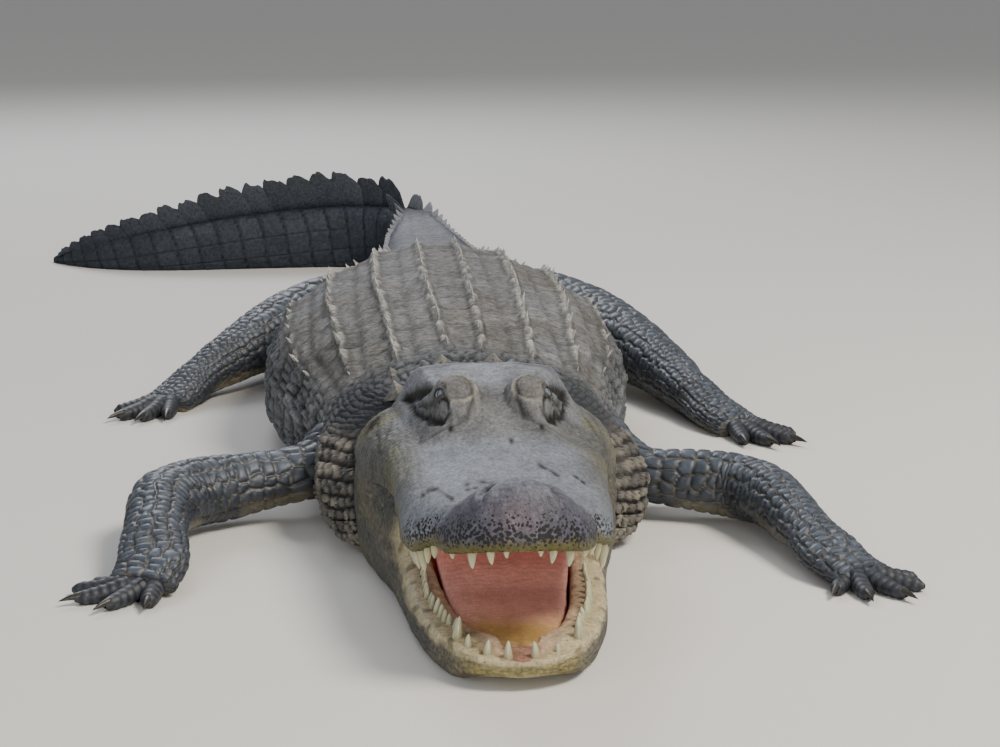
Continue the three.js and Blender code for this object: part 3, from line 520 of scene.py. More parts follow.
def crown_height(s, x):
    """Height of the head's upper surface over the lip line: a flat-topped snout that turns into the jaw
    muscles with the skull table on them, and rises to the domed lids and the nose."""
    share = np.minimum(np.abs(x) / np.maximum(upper_width(s), 1), 1)
    tip = 1 - smoothstep(30, 105, s)
    snout = (1 - share ** (3.2 - 1.0 * tip)) ** (0.46 + 0.12 * tip)
    muscle = (1 - share**3) ** 0.5
    table = 1 - smoothstep(table_half(s) - 12, table_half(s) + 24, np.abs(x))
    skull = 0.62 * muscle + 0.38 * table
    skull_share = smoothstep(235, 330, s)
    brow = 19.5 * np.maximum(0, 1 - ((s - 334) / 36) ** 2 - ((np.abs(x) - 40) / 29) ** 2) ** 0.8
    nose = 15 * mound((s - 46) / 44, x / 70)
    valley = 4 * mound((s - EYE_S) / 50, x / 14)
    base = np.maximum(jaw_line(s), rim_height(s) + GAP) - lip_height(s)
    body = upper_height(s) - LIP_BAND + base
    return LIP_BAND + body * (snout + (skull - snout) * skull_share) + brow + nose - valley


def crown_at(s, x):
    """Height of the head's upper surface over the ground."""
    return lip_height(s) + crown_height(s, x)


# Rows of plates: 18 on the torso and the tail's whorls after them

PLATE_PITCH = (TORSO_END - NECK_END - 0.3) / 18
# Rows of keels, from the middle: place across, outer edge of their plates, height, first and last station,
# and the share of the half width that they stay inside
KEELS = [(28, 58, 12, 640, 1640, 0.3), (90, 120, 14, 640, 1640, 0.62), (150, 178, 13, 700, 1470, 0.8),
         (202, 222, 10, 800, 1360, 0.92)]
inner_spread = profile([[600, 0.62], [1000, 1], [1640, 1]])
outer_spread = profile([[600, 0.86], [1000, 1], [1640, 1]])


def keel_across(k, s):
    """How far the keels of row k run from the spine."""
    keel, _, _, _, _, share = KEELS[k]
    spread = inner_spread(s) if k == 0 else outer_spread(s)
    return np.minimum(keel * spread, share * half_width(s))


whorl_pitch = profile([[1562, 50], [2700, 45], [3000, 38], [3200, 26]])
whorls = [TORSO_END + 0.3]
while whorls[-1] < TOTAL_LENGTH - 24:
    whorls.append(whorls[-1] + float(whorl_pitch(whorls[-1])))
whorls[-1] = TOTAL_LENGTH - 12
row_ends = np.concatenate([[300], NECK_END + PLATE_PITCH * np.arange(18), whorls])
crest_offset = profile([[1562, 86], [1700, 76], [2050, 60], [2300, 34], [2440, 15]])
double_crest = profile([[1562, 7], [1700, 11], [2050, 14], [2300, 20], [2440, 42]])
single_crest = profile([[2440, 60], [2600, 72], [2760, 64], [2900, 48], [3020, 35], [3120, 20], [3200, 5]])
CREST_BASE = 8
CREST_LEAN = 0.28

KEEL_LOW, KEEL_TIP = linear("605f5b"), linear("bcbab2")
PALE_BACK = linear("77797c")
WARM_BACK = linear("64615c")
# dark of the seams between scales and plates, also used as painted shade on the back
SEAM_AND_SHADE = linear("2f302f")
FLANK_GREY = linear("4e5255")
BELLY_CREAM = linear("a79d7e")
TAIL_TOP = linear("75787f")
TAIL_DARK = linear("2c323b")
TAIL_SEAM = linear("16181b")
JOWL_TAN = linear("82786a")
NECK_DARK = linear("303337")
SCALE_SEAM = linear("111213")
JOWL_DARK, JOWL_PALE, JOWL_SEAM = linear("504e4b"), linear("7b766b"), linear("141312")
# painted shade for the slanting fold behind the jowl
FOLD_SHADE = linear("0e0d0c")
SCUTE_LOW, SCUTE_TIP = linear("504e4a"), linear("8c8981")
CREST_LOW, CREST_TIP = linear("63666b"), linear("8f9092")
TIP_CREST_LOW, TIP_CREST_TIP = linear("2c323a"), linear("3a3e44")


def trunk_relief(s, angle):
    """Lift off the smooth body and the hide's colour, from plates on the back, round scales on the flanks
    and whorls of tall plates on the tail."""
    x, _ = section(s, angle)
    across = np.abs(x)
    upper = np.cos(angle) > -0.1
    wide = half_width(s)
    row = np.interp(s, row_ends, np.arange(len(row_ends)))
    number = np.floor(row)
    along = row - number
    pitch = np.interp(s, row_ends[1:], np.gradient(row_ends)[1:])
    torso = smoothstep(620, 680, s) * (1 - smoothstep(1540, 1600, s))
    tail = smoothstep(1540, 1600, s)
    neck = 1 - smoothstep(620, 680, s)

    # plates of the back, in columns that each keel runs down
    outer_edges = [np.minimum(edge, (share + 0.06) * wide) for _, edge, _, _, _, share in KEELS]
    edges = [np.zeros_like(wide)] + outer_edges
    inside = np.zeros_like(across + row)
    column = inside.copy()
    for k in range(4):
        low, high = edges[k], edges[k + 1]
        here = (across >= low) & (across < high) & upper
        border = np.minimum(across - low if k else 99.0, high - across)
        border = np.minimum(border, np.minimum(along, 1 - along) * pitch + 1.5 * ripple(across / 9, s / 9, 3))
        inside = np.where(here, np.maximum(border, 0), inside)
        column = np.where(here, k + 1, column)
    plated = (column > 0) * (1 - smoothstep(0.86, 0.99, across / wide))
    rough = ripple(s / 14, across / 9, 5) * 0.5 + ripple(s / 6, across / 17, 6) * 0.35
    plate_lift = smoothstep(0, 7, inside) * (1.6 + 2.4 * along) + rough * 1.6
    ridge = inside * 0
    for k, (keel, _, height, start, end, share) in enumerate(KEELS):
        fade = smoothstep(start - 60, start + 20, s) * (1 - smoothstep(end - 20, end + 60, s))
        aside = across - keel_across(k, s) - 2.4 * ripple(s / 22, keel + 0 * across, 9)
        crest = np.maximum(0, 1 - np.abs(aside) / 11) ** 1.4
        ridge = np.maximum(ridge, crest * fade * (0.45 + 0.5 * along) * height * upper)
    plate_lift = plate_lift + 0.8 * ridge
    variety = chance(number, column + 7 * (x > 0), 11)

    # round scales of the flank and neck, smaller towards the head
    girth = np.abs(angle) * 0.62 * (wide + back_height(s))
    size = np.interp(s, [445, 640, 900, 1562], [13, 15, 18, 16])
    dome, shade = scales(s / size, girth / (0.9 * size), 21, 0.6)
    flank_lift = 5.6 * smoothstep(0, 0.5, dome) * (0.6 + 0.8 * shade) + 3 * ripple(s / 60, girth / 45, 22)

    # whorls of plates on the tail, taller than long, with seams that slant towards the tip
    slant = row + 0.95 * np.abs(angle) / math.pi * tail
    tall = np.abs(angle) / math.pi * np.interp(s, [1562, 2400, 3200], [11, 8, 5])
    cross_seam = np.minimum(tall % 1, 1 - tall % 1) * 26 + 1.5 + 30 * (1 - smoothstep(1.0, 1.3, np.abs(angle)))
    seam = np.minimum(np.minimum(slant % 1, 1 - slant % 1) * pitch, cross_seam)
    tail_lift = (2.6 * smoothstep(0, 4, seam) + 2.0 * (slant % 1)) * smoothstep(0.2, 0.5, np.abs(angle))
    tail_lift = tail_lift + 0.9 * ripple(s / 7, tall * 3, 8)

    back = plated * torso
    lift = back * plate_lift + (1 - back) * (1 - tail) * flank_lift * (1 - 0.35 * neck) + tail * tail_lift
    belly = smoothstep(2.2, 2.7, np.abs(angle))
    lift = lift * (1 - 0.8 * belly)

    streaks = ripple(s / 3.2, x / 17, 34)
    back_tint = blend(PALE_BACK, WARM_BACK, 0.5 + 0.5 * ripple(s / 70, x / 50, 31))
    back_tint = back_tint * (1 + 0.2 * streaks + 0.16 * ripple(s / 9, x / 10, 35))[..., None]
    back_tint = back_tint * (0.86 + 0.28 * variety)[..., None]
    back_tint = blend(back_tint, SEAM_AND_SHADE, 0.36 * (1 - smoothstep(0, 6, inside)) * (column > 0))
    # painted shade in the dips of the plates' rough relief
    back_tint = blend(back_tint, SEAM_AND_SHADE, 0.35 * np.clip(-rough * 1.5, 0, 1))
    # painted shade along the foot of each keel
    foot = smoothstep(0.5, 2.5, ridge) * (1 - smoothstep(3.5, 7, ridge))
    back_tint = blend(back_tint, SEAM_AND_SHADE, 0.45 * foot)
    back_tint = blend(back_tint, KEEL_TIP, 0.6 * smoothstep(5, 9, ridge))
    flank_tint = blend(FLANK_GREY, PALE_BACK, 0.35 + 0.3 * ripple(s / 40, girth / 30, 33))
    flank_tint = flank_tint * (0.8 + 0.4 * shade)[..., None]
    # painted highlight: each round scale is lighter towards its crown
    flank_tint = flank_tint * (0.65 + 0.55 * smoothstep(0.2, 0.8, dome))[..., None]
    flank_tint = blend(flank_tint, SCALE_SEAM, 0.92 * (1 - smoothstep(0.04, 0.3, dome)))
    low = smoothstep(1.0, 1.45, np.abs(angle))
    beside = smoothstep(0.3, 0.75, np.abs(angle))
    flank_tint = blend(flank_tint, NECK_DARK, (0.3 + 0.62 * beside) * (1 - low) * (1 - smoothstep(540, 740, s)))
    flank_tint = blend(flank_tint, JOWL_TAN, 0.5 * low * (1 - smoothstep(520, 700, s)))
    flank_tint = blend(flank_tint, BELLY_CREAM, 0.7 * smoothstep(1.75, 2.2, np.abs(angle)))
    top = 1 - smoothstep(0.5, 1.0, across / np.maximum(crest_offset(s), 20))
    tail_tint = blend(TAIL_DARK, TAIL_TOP, np.clip(top * (1 - smoothstep(2200, 2440, s)) * upper, 0, 1))
    plate_shade = chance(np.floor(slant), np.floor(0.5 * tall), 12)
    tail_tint = tail_tint * (0.8 + 0.45 * plate_shade * (1 - top))[..., None]
    tail_tint = tail_tint * (1 + 0.3 * streaks * top)[..., None]
    in_seam = (1 - smoothstep(0, 4.5, seam)) * smoothstep(0.15, 0.4, np.abs(angle))
    tail_tint = blend(tail_tint, TAIL_SEAM, 0.7 * in_seam)
    tail_tint = blend(tail_tint, BELLY_CREAM, 0.75 * smoothstep(2.5, 2.9, np.abs(angle)))
    tint = blend(flank_tint, back_tint, back)
    tint = blend(tint, tail_tint, tail)
    roughness = 0.82 - 0.22 * tail
    return lift, np.concatenate([tint, (roughness + np.zeros_like(lift))[..., None]], -1)


def trunk_angles(count):
    """Columns round the trunk, closest on the back and flanks and wide apart under the belly."""
    share = np.linspace(-1, 1, count, endpoint=False)
    spaced = np.interp(np.abs(share), [0, 0.86, 1], [0, 0.72 * math.pi, math.pi])
    return np.sign(share) * spaced


def trunk_grid(stations, angles):
    """The trunk's skin at stations along it and angles round it, with its tint."""
    s, angle = stations[:, None], angles[None, :]
    lift, tint = trunk_relief(s, angle)
    return trunk_point(s, angle, lift), tint


COLLAR_START = 322
SWELL_WIDTH = 42  # length of skin that the swelling of the jowl adds
NECK_HALF = 172  # half width of the neck where the collar meets it
collar_front = profile([[0, 385], [10, 397], [60, 438], [110, 505], [140, 500], [168, 468], [200, 455]])
collar_width = profile([[322, 132], [350, 150], [385, 162], [445, 170]])


def inner_section(s, angle):
    """A section that stays just inside the head and jaws, to carry the collar of the neck forwards."""
    wide = np.minimum(lower_width(s), upper_width(s)) - 9
    top = np.minimum(crown_at(np.minimum(s, 440), 0) - 16, 184)
    middle = 0.3 * top
    cosine = np.cos(angle)
    above = middle + (top - middle) * np.maximum(cosine, 0) ** 0.9
    below = middle * (1 - np.maximum(-cosine, 0) ** BELLY_ROUND) + 2
    return wide * np.sin(angle), np.where(cosine >= 0, above, below)


def collar(grid, tint, s, angle):
    """Draws the neck in under the head and jaws in front of a slanting fold, where the jowl swells out, and
    lays the jowl's upright rows of pebbly scales on it."""
    outer = grid.copy()
    high = outer[..., 2]
    narrow = 1 - 0.17 * smoothstep(96, 150, high) * (1 - smoothstep(500, 590, s))
    leaner = 1 - 0.05 * smoothstep(0.2, 0.8, -np.sin(angle)) * (1 - smoothstep(500, 590, s))
    outer[..., 0] = outer[..., 0] * np.where(s < HEAD_END, collar_width(s) / NECK_HALF, 1.0) * narrow * leaner
    outer[..., 1] = s + 0 * angle
    inner_x, inner_z = inner_section(s, angle)
    inner = np.stack(np.broadcast_arrays(inner_x, s + 0 * angle, inner_z), -1)
    behind = s - collar_front(high) - 5 * ripple(high / 30, angle * 3, 23)
    swell = smoothstep(-6, 40, behind) ** 0.85
    joined = inner + (outer - inner) * swell[..., None]
    fade = 1 - smoothstep(560, 590, s)
    grid = grid + (joined - grid) * fade[..., None]

    run = behind + SWELL_WIDTH * swell
    row = high / 12 + 0.25 * ripple(run / 30, high / 25, 24)
    column = run / 14 + 0.5 * (np.floor(row) % 2) + 0.2 * ripple(run / 18, high / 18, 25)
    edge = np.minimum(column % 1, 1 - column % 1)
    rounded = np.hypot(np.maximum(0, np.abs(row % 1 - 0.5) - 0.18), np.maximum(0, 0.3 - edge)) / 0.3
    shade = chance(np.floor(column), np.floor(row), 26)
    low = 1 - smoothstep(90, 118, high + 8 * ripple(run / 20, high / 20, 27))
    place = low * (1 - smoothstep(45, 80, behind)) * fade * smoothstep(2, 14, high)
    bulge = 1 - smoothstep(0.35, 1.15, rounded)
    grid = grid + (place * (3.4 * bulge + 2.2 * bulge * (1 - row % 1)))[..., None] * grid_normals(grid)
    scale = blend(JOWL_DARK, JOWL_PALE, shade)
    scale = blend(scale, JOWL_SEAM, 0.92 * smoothstep(0.45, 0.85, rounded))
    tint[..., :3] = blend(tint[..., :3], scale, place)
    tint[..., 3] = tint[..., 3] + (0.55 - tint[..., 3]) * place
    crease = bell(behind - 1, 8) * fade
    # painted shade: the fold where the neck tucks in under the head and jaws is darkened near black
    tint[..., :3] = blend(tint[..., :3], FOLD_SHADE, 0.92 * crease)
    return grid, tint


FRONT_END = 600
front_stations = np.concatenate([np.arange(COLLAR_START, 380, 4 / FINE), np.arange(380, 560, 1.3 / FINE),
                                 np.linspace(560, FRONT_END, int(16 * FINE))])
trunk_stations = np.concatenate([
    np.arange(FRONT_END - 3, 700, 3 / FINE), np.arange(700, 1600, 4 / FINE), np.arange(1600, 2700, 4.4 / FINE),
    np.linspace(2700, TOTAL_LENGTH, int(110 * FINE)),
])
columns = 2 * int(118 * FINE)
trunk_columns, front_columns = trunk_angles(columns), trunk_angles(2 * columns)
trunk, trunk_tint = trunk_grid(trunk_stations, trunk_columns)
trunk_normals = grid_normals(trunk)
trunk, trunk_tint, trunk_normals = trunk[1:], trunk_tint[1:], trunk_normals[1:]
trunk_stations = trunk_stations[1:]
front, front_tint = trunk_grid(front_stations, front_columns)
front, front_tint = collar(front, front_tint, front_stations[:, None], front_columns[None, :])
front_normals = grid_normals(front)


def between(ring):
    """A ring with twice the points: the old ones, and one half-way between each pair."""
    return np.stack([ring, 0.5 * (ring + np.roll(ring, -1, 0))], 1).reshape(2 * len(ring), -1)


# the neck's last ring is the torso's first, so that they meet without a seam
front[-1], front_normals[-1], front_tint[-1] = map(between, (trunk[0], trunk_normals[0], trunk_tint[0]))
grid_piece("neck_skin", front, front_tint, NECK_HIDE, ("neck",), normals=front_normals)
SKIN_CUTS = (1330, 1900)
cuts = [0] + [int(np.searchsorted(trunk_stations, s)) for s in SKIN_CUTS] + [len(trunk_stations) - 1]
trunk_names = [("torso_skin", "body_hide", BODY_HIDE, ("torso",)),
               ("hip_skin", "tail_hide", BODY_HIDE, ("tail_1",)),
               ("tail_skin", "tail_hide", TAIL_HIDE, ("tail_2", "tail_3", "tail_4", "tail_5", "tail_6"))]
for (name, slot, material, nodes), first, last in zip(trunk_names, cuts, cuts[1:]):
    ends = (False, last == len(trunk_stations) - 1)
    grid_piece(name, trunk[first : last + 1], trunk_tint[first : last + 1], material, nodes, caps=ends,
               normals=trunk_normals[first : last + 1])

# Blades: keels, nuchal scutes and tail crests


BLADE_ROOT = 5  # how deep a blade is rooted in the hide


def blades(name, where, along, across, up, length, thick, height, peak, tint, wide_top=0.25, power=0.75,
           rough=0.16, rows=11, columns=11):
    """Upright plates rooted in the hide. Along its length a blade rises to its full height at peak, as a
    power of the sine, and over each section it narrows from thick at the root to wide_top of that. Its edge
    is ragged by a share rough of its height."""
    u = np.linspace(0, 1, rows)[None, :, None]
    turn = np.linspace(0, math.pi, columns)[None, None, :]
    peak = peak[:, None, None]
    rise = np.where(u < peak, u / peak, (1 - u) / (1 - peak))
    crown = np.sin(0.5 * math.pi * np.clip(rise, 0, 1)) ** power
    ragged = 1 + rough * (chance(np.floor(u * 8), np.arange(len(where))[:, None, None], 41) - 0.5)
    tall = height[:, None, None] * crown * ragged * np.sin(turn) - BLADE_ROOT
    narrow = 1 - (1 - wide_top) * np.sin(turn) ** 0.8
    side = thick[:, None, None] * np.cos(turn) * narrow * (0.35 + 0.65 * np.sin(math.pi * u) ** 0.5)
    run = (u - 0.5) * length[:, None, None] + CREST_LEAN * np.maximum(tall, 0)
    frames = [direction[:, None, None, :] for direction in (along, across, up)]
    points = where[:, None, None, :] + run[..., None] * frames[0] + side[..., None] * frames[1]
    points = points + tall[..., None] * frames[2]
    points = np.concatenate([points, points[:, :, :1] * 0.5 + points[:, :, -1:] * 0.5], 2)
    share = np.clip(tall / np.maximum(height[:, None, None], 1), 0, 1)
    share = np.concatenate([share, np.zeros_like(share[:, :, :1])], 2)
    variety = 0.85 + 0.3 * chance(np.arange(len(where)), 1, 43)
    colour = blend(*tint, share**0.8) * variety[:, None, None, None]
    alpha = np.full(colour.shape[:3] + (1,), 0.75)
    return many_piece(name, points, np.concatenate([colour, alpha], -1), HORN)


def skin_frames(s, angle):
    """Places on the trunk's skin with the directions along, across and up off it."""
    here = trunk_point(s, angle)
    along = trunk_point(s + 2, angle) - trunk_point(s - 2, angle)
    side = trunk_point(s, angle + 0.01) - trunk_point(s, angle - 0.01)
    along = along / np.linalg.norm(along, axis=1, keepdims=True)
    side = side / np.linalg.norm(side, axis=1, keepdims=True)
    up = np.cross(side, along)
    up = up * np.where(up[:, 2:3] < 0, -1, 1)
    return here, along, side, up


# each keel: station, angle round the trunk, height, chance value, and its row
keel_parts = []
for k, (_, _, height, start, end, _) in enumerate(KEELS):
    for side in (-1, 1):
        for row in range(21):
            s = NECK_END + PLATE_PITCH * (row + 0.56)
            fade = float(smoothstep(start - 60, start + 20, s) * (1 - smoothstep(end - 20, end + 60, s)))
            if fade > 0.15 and s < 1640:
                luck = float(chance(row, 2 * k + (side > 0), 51))
                angle = side * float(np.arcsin(np.clip(keel_across(k, s) / half_width(s), -1, 1)))
                keel_parts.append((s, angle, height * fade * (0.85 + 0.4 * luck), luck, k))
keel_parts = np.array(keel_parts)
inner_keels, outer_keels = keel_parts[keel_parts[:, 4] < 2].T, keel_parts[keel_parts[:, 4] > 1].T
keel_s, keel_angle, high, luck, _ = inner_keels
blades("back_keels", *skin_frames(keel_s, keel_angle), 56 + 4 * luck, 6.5 + 2 * luck, high + 4,
       0.6 + 0.2 * luck, (KEEL_LOW, KEEL_TIP), wide_top=0.12, power=0.6, rough=0.6)
keel_s, keel_angle, high, luck, _ = outer_keels
blades("flank_keels", *skin_frames(keel_s, keel_angle), 34 + 8 * luck, 8 + 3 * luck, high + 8, 0.7 + 0.1 * luck,
       (KEEL_LOW, KEEL_TIP), wide_top=0.05, power=1.1, rough=0.3)

# scutes of the neck, in pairs: station, place across, length, half width and height
NUCHALS = [(505, 31, 52, 25, 20), (560, 29, 50, 24, 19), (528, 88, 44, 19, 16), (614, 30, 40, 22, 14),
           (600, 88, 42, 19, 13), (470, 44, 24, 15, 8)]
nuchal_parts = np.array([(s, side * float(angle_at(s, x, 0.97)), length, wide, high)
                         for s, x, length, wide, high in NUCHALS for side in (-1, 1)])
scute_s, scute_angle, length, wide, high = nuchal_parts.T
blades("nuchal_scutes", *skin_frames(scute_s, scute_angle), length, wide, 0.75 * high + 5, 0.66 + 0 * scute_s,
       (SCUTE_LOW, SCUTE_TIP), wide_top=0.1, rows=17, columns=21)

# each plate of the tail crests: station, angle round the tail, length, height and chance value
crest_parts = []
for i in range(len(whorls) - 1):
    s = 0.5 * (whorls[i] + whorls[i + 1])
    pitch = whorls[i + 1] - whorls[i]
    luck = float(chance(i, 3, 61))
    if s < CREST_MERGE:
        angle = float(np.arcsin(min(crest_offset(s) / half_width(s), 0.985)))
        crest_parts += [(s, side * angle, 1.3 * pitch, float(double_crest(s)) * (0.9 + 0.12 * luck), luck)
                        for side in (-1, 1)]
    else:
        crest_parts.append((s, 0.0, 1.5 * pitch, float(single_crest(s)) * (0.9 + 0.12 * luck), luck))
crest_s, crest_angle, length, high, luck = np.array(crest_parts).T
near_tip = smoothstep(2330, 2450, crest_s)[:, None, None]
crest_low = blend(CREST_LOW, TIP_CREST_LOW, near_tip)
crest_tip = blend(CREST_TIP, TIP_CREST_TIP, near_tip)
blades("tail_crests", *skin_frames(crest_s, crest_angle), length, CREST_BASE * (2 - np.clip(high / 50, 0, 1)),
       high + 3, 0.62 + 0.1 * luck, (crest_low, crest_tip), wide_top=0.18, power=0.34, rough=0.14, rows=15)

# Head

SNOUT_GREY = linear("6c7179")
NOSE_DARK = linear("454450")
CHEEK_GREY = linear("5a5b56")
OLIVE = linear("625d38")
LIP_YELLOW = linear("555016")
TABLE_GREY = linear("6d7076")
LID_TAN = linear("676561")
# painted shade for the pouch behind the eye, the grooves of the lids and the eye sockets
HOLLOW_SHADE = linear("2b2926")
GUM_PINK = linear("ab8470")
MOUTH_RED = linear("a8452f")
# painted shade for the nostrils, the slit behind each eye and the cheek pit
OPENING_SHADE = linear("100e0c")
BROW_GREY = linear("5f5e5c")
NOSE_ROSE = linear("605357")
# painted highlight for the raised rim round each lid's button
LID_RIM_HIGHLIGHT = linear("a09a8c")
# painted shade for the head's creases
CREASE_SHADE = linear("0f0d0c")
SCRATCH_DARK = linear("191413")

EYE_LOOK = np.array([0.80, -0.42, 0.43]) / np.linalg.norm([0.80, -0.42, 0.43])
BUTTON_S, BUTTON_ACROSS = 326, 39  # middle of the bony button on each upper lid
TABLE_END = 445
LIP_COLUMNS = 8


def eye_front():
    """The middle of the left eye's opening, on the skin."""
    return np.array([EYE_ACROSS, EYE_S, float(crown_at(EYE_S, EYE_ACROSS))])


def eye_axes(side):
    """The way the eye looks, outward, forward and a little up, with two directions square to it."""
    look = EYE_LOOK * np.array([side, 1, 1])
    level = np.cross([0, 0, 1], look)
    level = level / np.linalg.norm(level)
    return look, level, np.cross(look, level)


def head_grid():
    """Upper jaw and skull: each section runs over the crown, round the lip and across the palate. Its
    columns lie evenly along the steep section through the eyes. Behind the skull table the sections sink
    under the neck. Returns stations, places across, heights, and the kind of each column: 0 on the crown,
    1 on the lip and 2 on the palate."""
    front = 0.05 + 50.5 * np.linspace(0, 1, int(46 * FINE)) ** 1.8
    s = np.concatenate([front, np.arange(52, 290, 2.1 / FINE), np.arange(290, 430, 1.35 / FINE),
                        np.arange(430, 516, 2.4 / FINE)])[:, None]
    wide, lip = upper_width(s) - 8 * smoothstep(460, 515, s), lip_height(s)
    columns = int(108 * FINE)
    fine_share = np.linspace(0, 1, 600)
    fine_z = crown_height(EYE_S, fine_share * upper_width(EYE_S))
    run = np.concatenate([[0], np.cumsum(np.hypot(np.diff(fine_share) * upper_width(EYE_S), np.diff(fine_z)))])
    even = np.interp(np.linspace(0, run[-1], columns), run, fine_share)[None, :]
    sine = np.sin(np.linspace(0, 0.5 * math.pi, columns))[None, :]
    crown_x = wide * (sine + (even - sine) * smoothstep(180, 290, s))
    sunk = 1 - 0.3 * smoothstep(447, 462, s) - 0.25 * smoothstep(462, 515, s)
    crown_z = lip + crown_height(np.minimum(s, TABLE_END), crown_x * 0.999) * sunk
    turn = np.linspace(0.15, 1, LIP_COLUMNS)[None, :] * 0.5 * math.pi
    small = np.minimum(5, 0.2 * wide)
    lip_x = wide - small + 1.25 * small * np.cos(turn)
    lip_z = lip + 5 - 5 * np.sin(turn)
    inset = np.minimum(9, 0.2 * wide)
    opened = (1 - smoothstep(240, MOUTH_CORNER - 8, s)) * smoothstep(4, 24, s)
    t = np.linspace(0.06, 1, int(22 * FINE))[None, :]
    palate_x = (wide - inset) * (1 - t)
    palate_z = lip + opened * (10 * smoothstep(0, 0.6, t) + 0.5 * np.sin(s / 3.2) * t * (1 - t) * 3)
    x = np.concatenate([crown_x, lip_x, palate_x], 1)
    z = np.concatenate([crown_z, lip_z, palate_z], 1)
    x = x - np.minimum(lip_tuck(s), 0.5 * x) * (1 - smoothstep(4, 42, z - lip))
    kind = np.concatenate([np.zeros(crown_x.shape[1]), np.full(LIP_COLUMNS, 1), np.full(palate_x.shape[1], 2)])
    order = np.concatenate([np.arange(x.shape[1]), np.arange(x.shape[1] - 2, 0, -1)])
    sign = np.concatenate([np.ones(x.shape[1]), -np.ones(x.shape[1] - 2)])
    return s, x[:, order] * sign, z[:, order], kind[order]


# Creases of one side of the head, as places (s, across) with a width and a depth
CREASES = [
    ([(412, 88), (386, 82), (350, 75), (312, 62), (302, 55), (304, 47)], 1.9, 2.8),
    ([(304, 49), (312, 49), (320, 54), (336, 59)], 1.5, 2.2),
    ([(388, 78), (352, 70), (322, 60)], 1.2, 1.4),
    ([(372, 73), (340, 65), (318, 56)], 1.1, 1.1),
    ([(330, 24), (316, 22), (302, 28), (296, 40)], 2.0, 1.2),
    ([(300, 30), (292, 44), (292, 60), (300, 74)], 1.8, 0.7),
    ([(280, 24), (284, 46), (276, 66)], 1.8, 0.5),
    ([(408, 100), (380, 106), (350, 110)], 2.2, 0.9),
    ([(430, 112), (392, 118), (340, 117), (300, 108)], 2.2, 0.7),
    ([(366, 14), (374, 34), (384, 48), (402, 56)], 3.6, 0.9),
    ([(440, 16), (428, 40), (424, 62), (408, 74)], 4.0, 0.8),
    ([(398, 8), (412, 26), (410, 44)], 3.6, 0.6),
]
SLIT_BEHIND_EYE = [(364, 62), (376, 69), (392, 77), (410, 84), (428, 89)]
NOSTRIL = [(54, 9), (50, 18), (43, 27), (34, 33)]
SCRATCHES = [[(158, -76), (153, -68), (128, -62), (102, -57)], [(152, -83), (158, -76)],
             [(199, 34), (187, 42), (171, 49)], [(110, 4), (114, 15)], [(150, -26), (144, -14)],
             [(124, -42), (130, -32)], [(176, 66), (168, 74)]]
PITS = [(289, -47), (288, 45), (146, -40), (260, 12)]


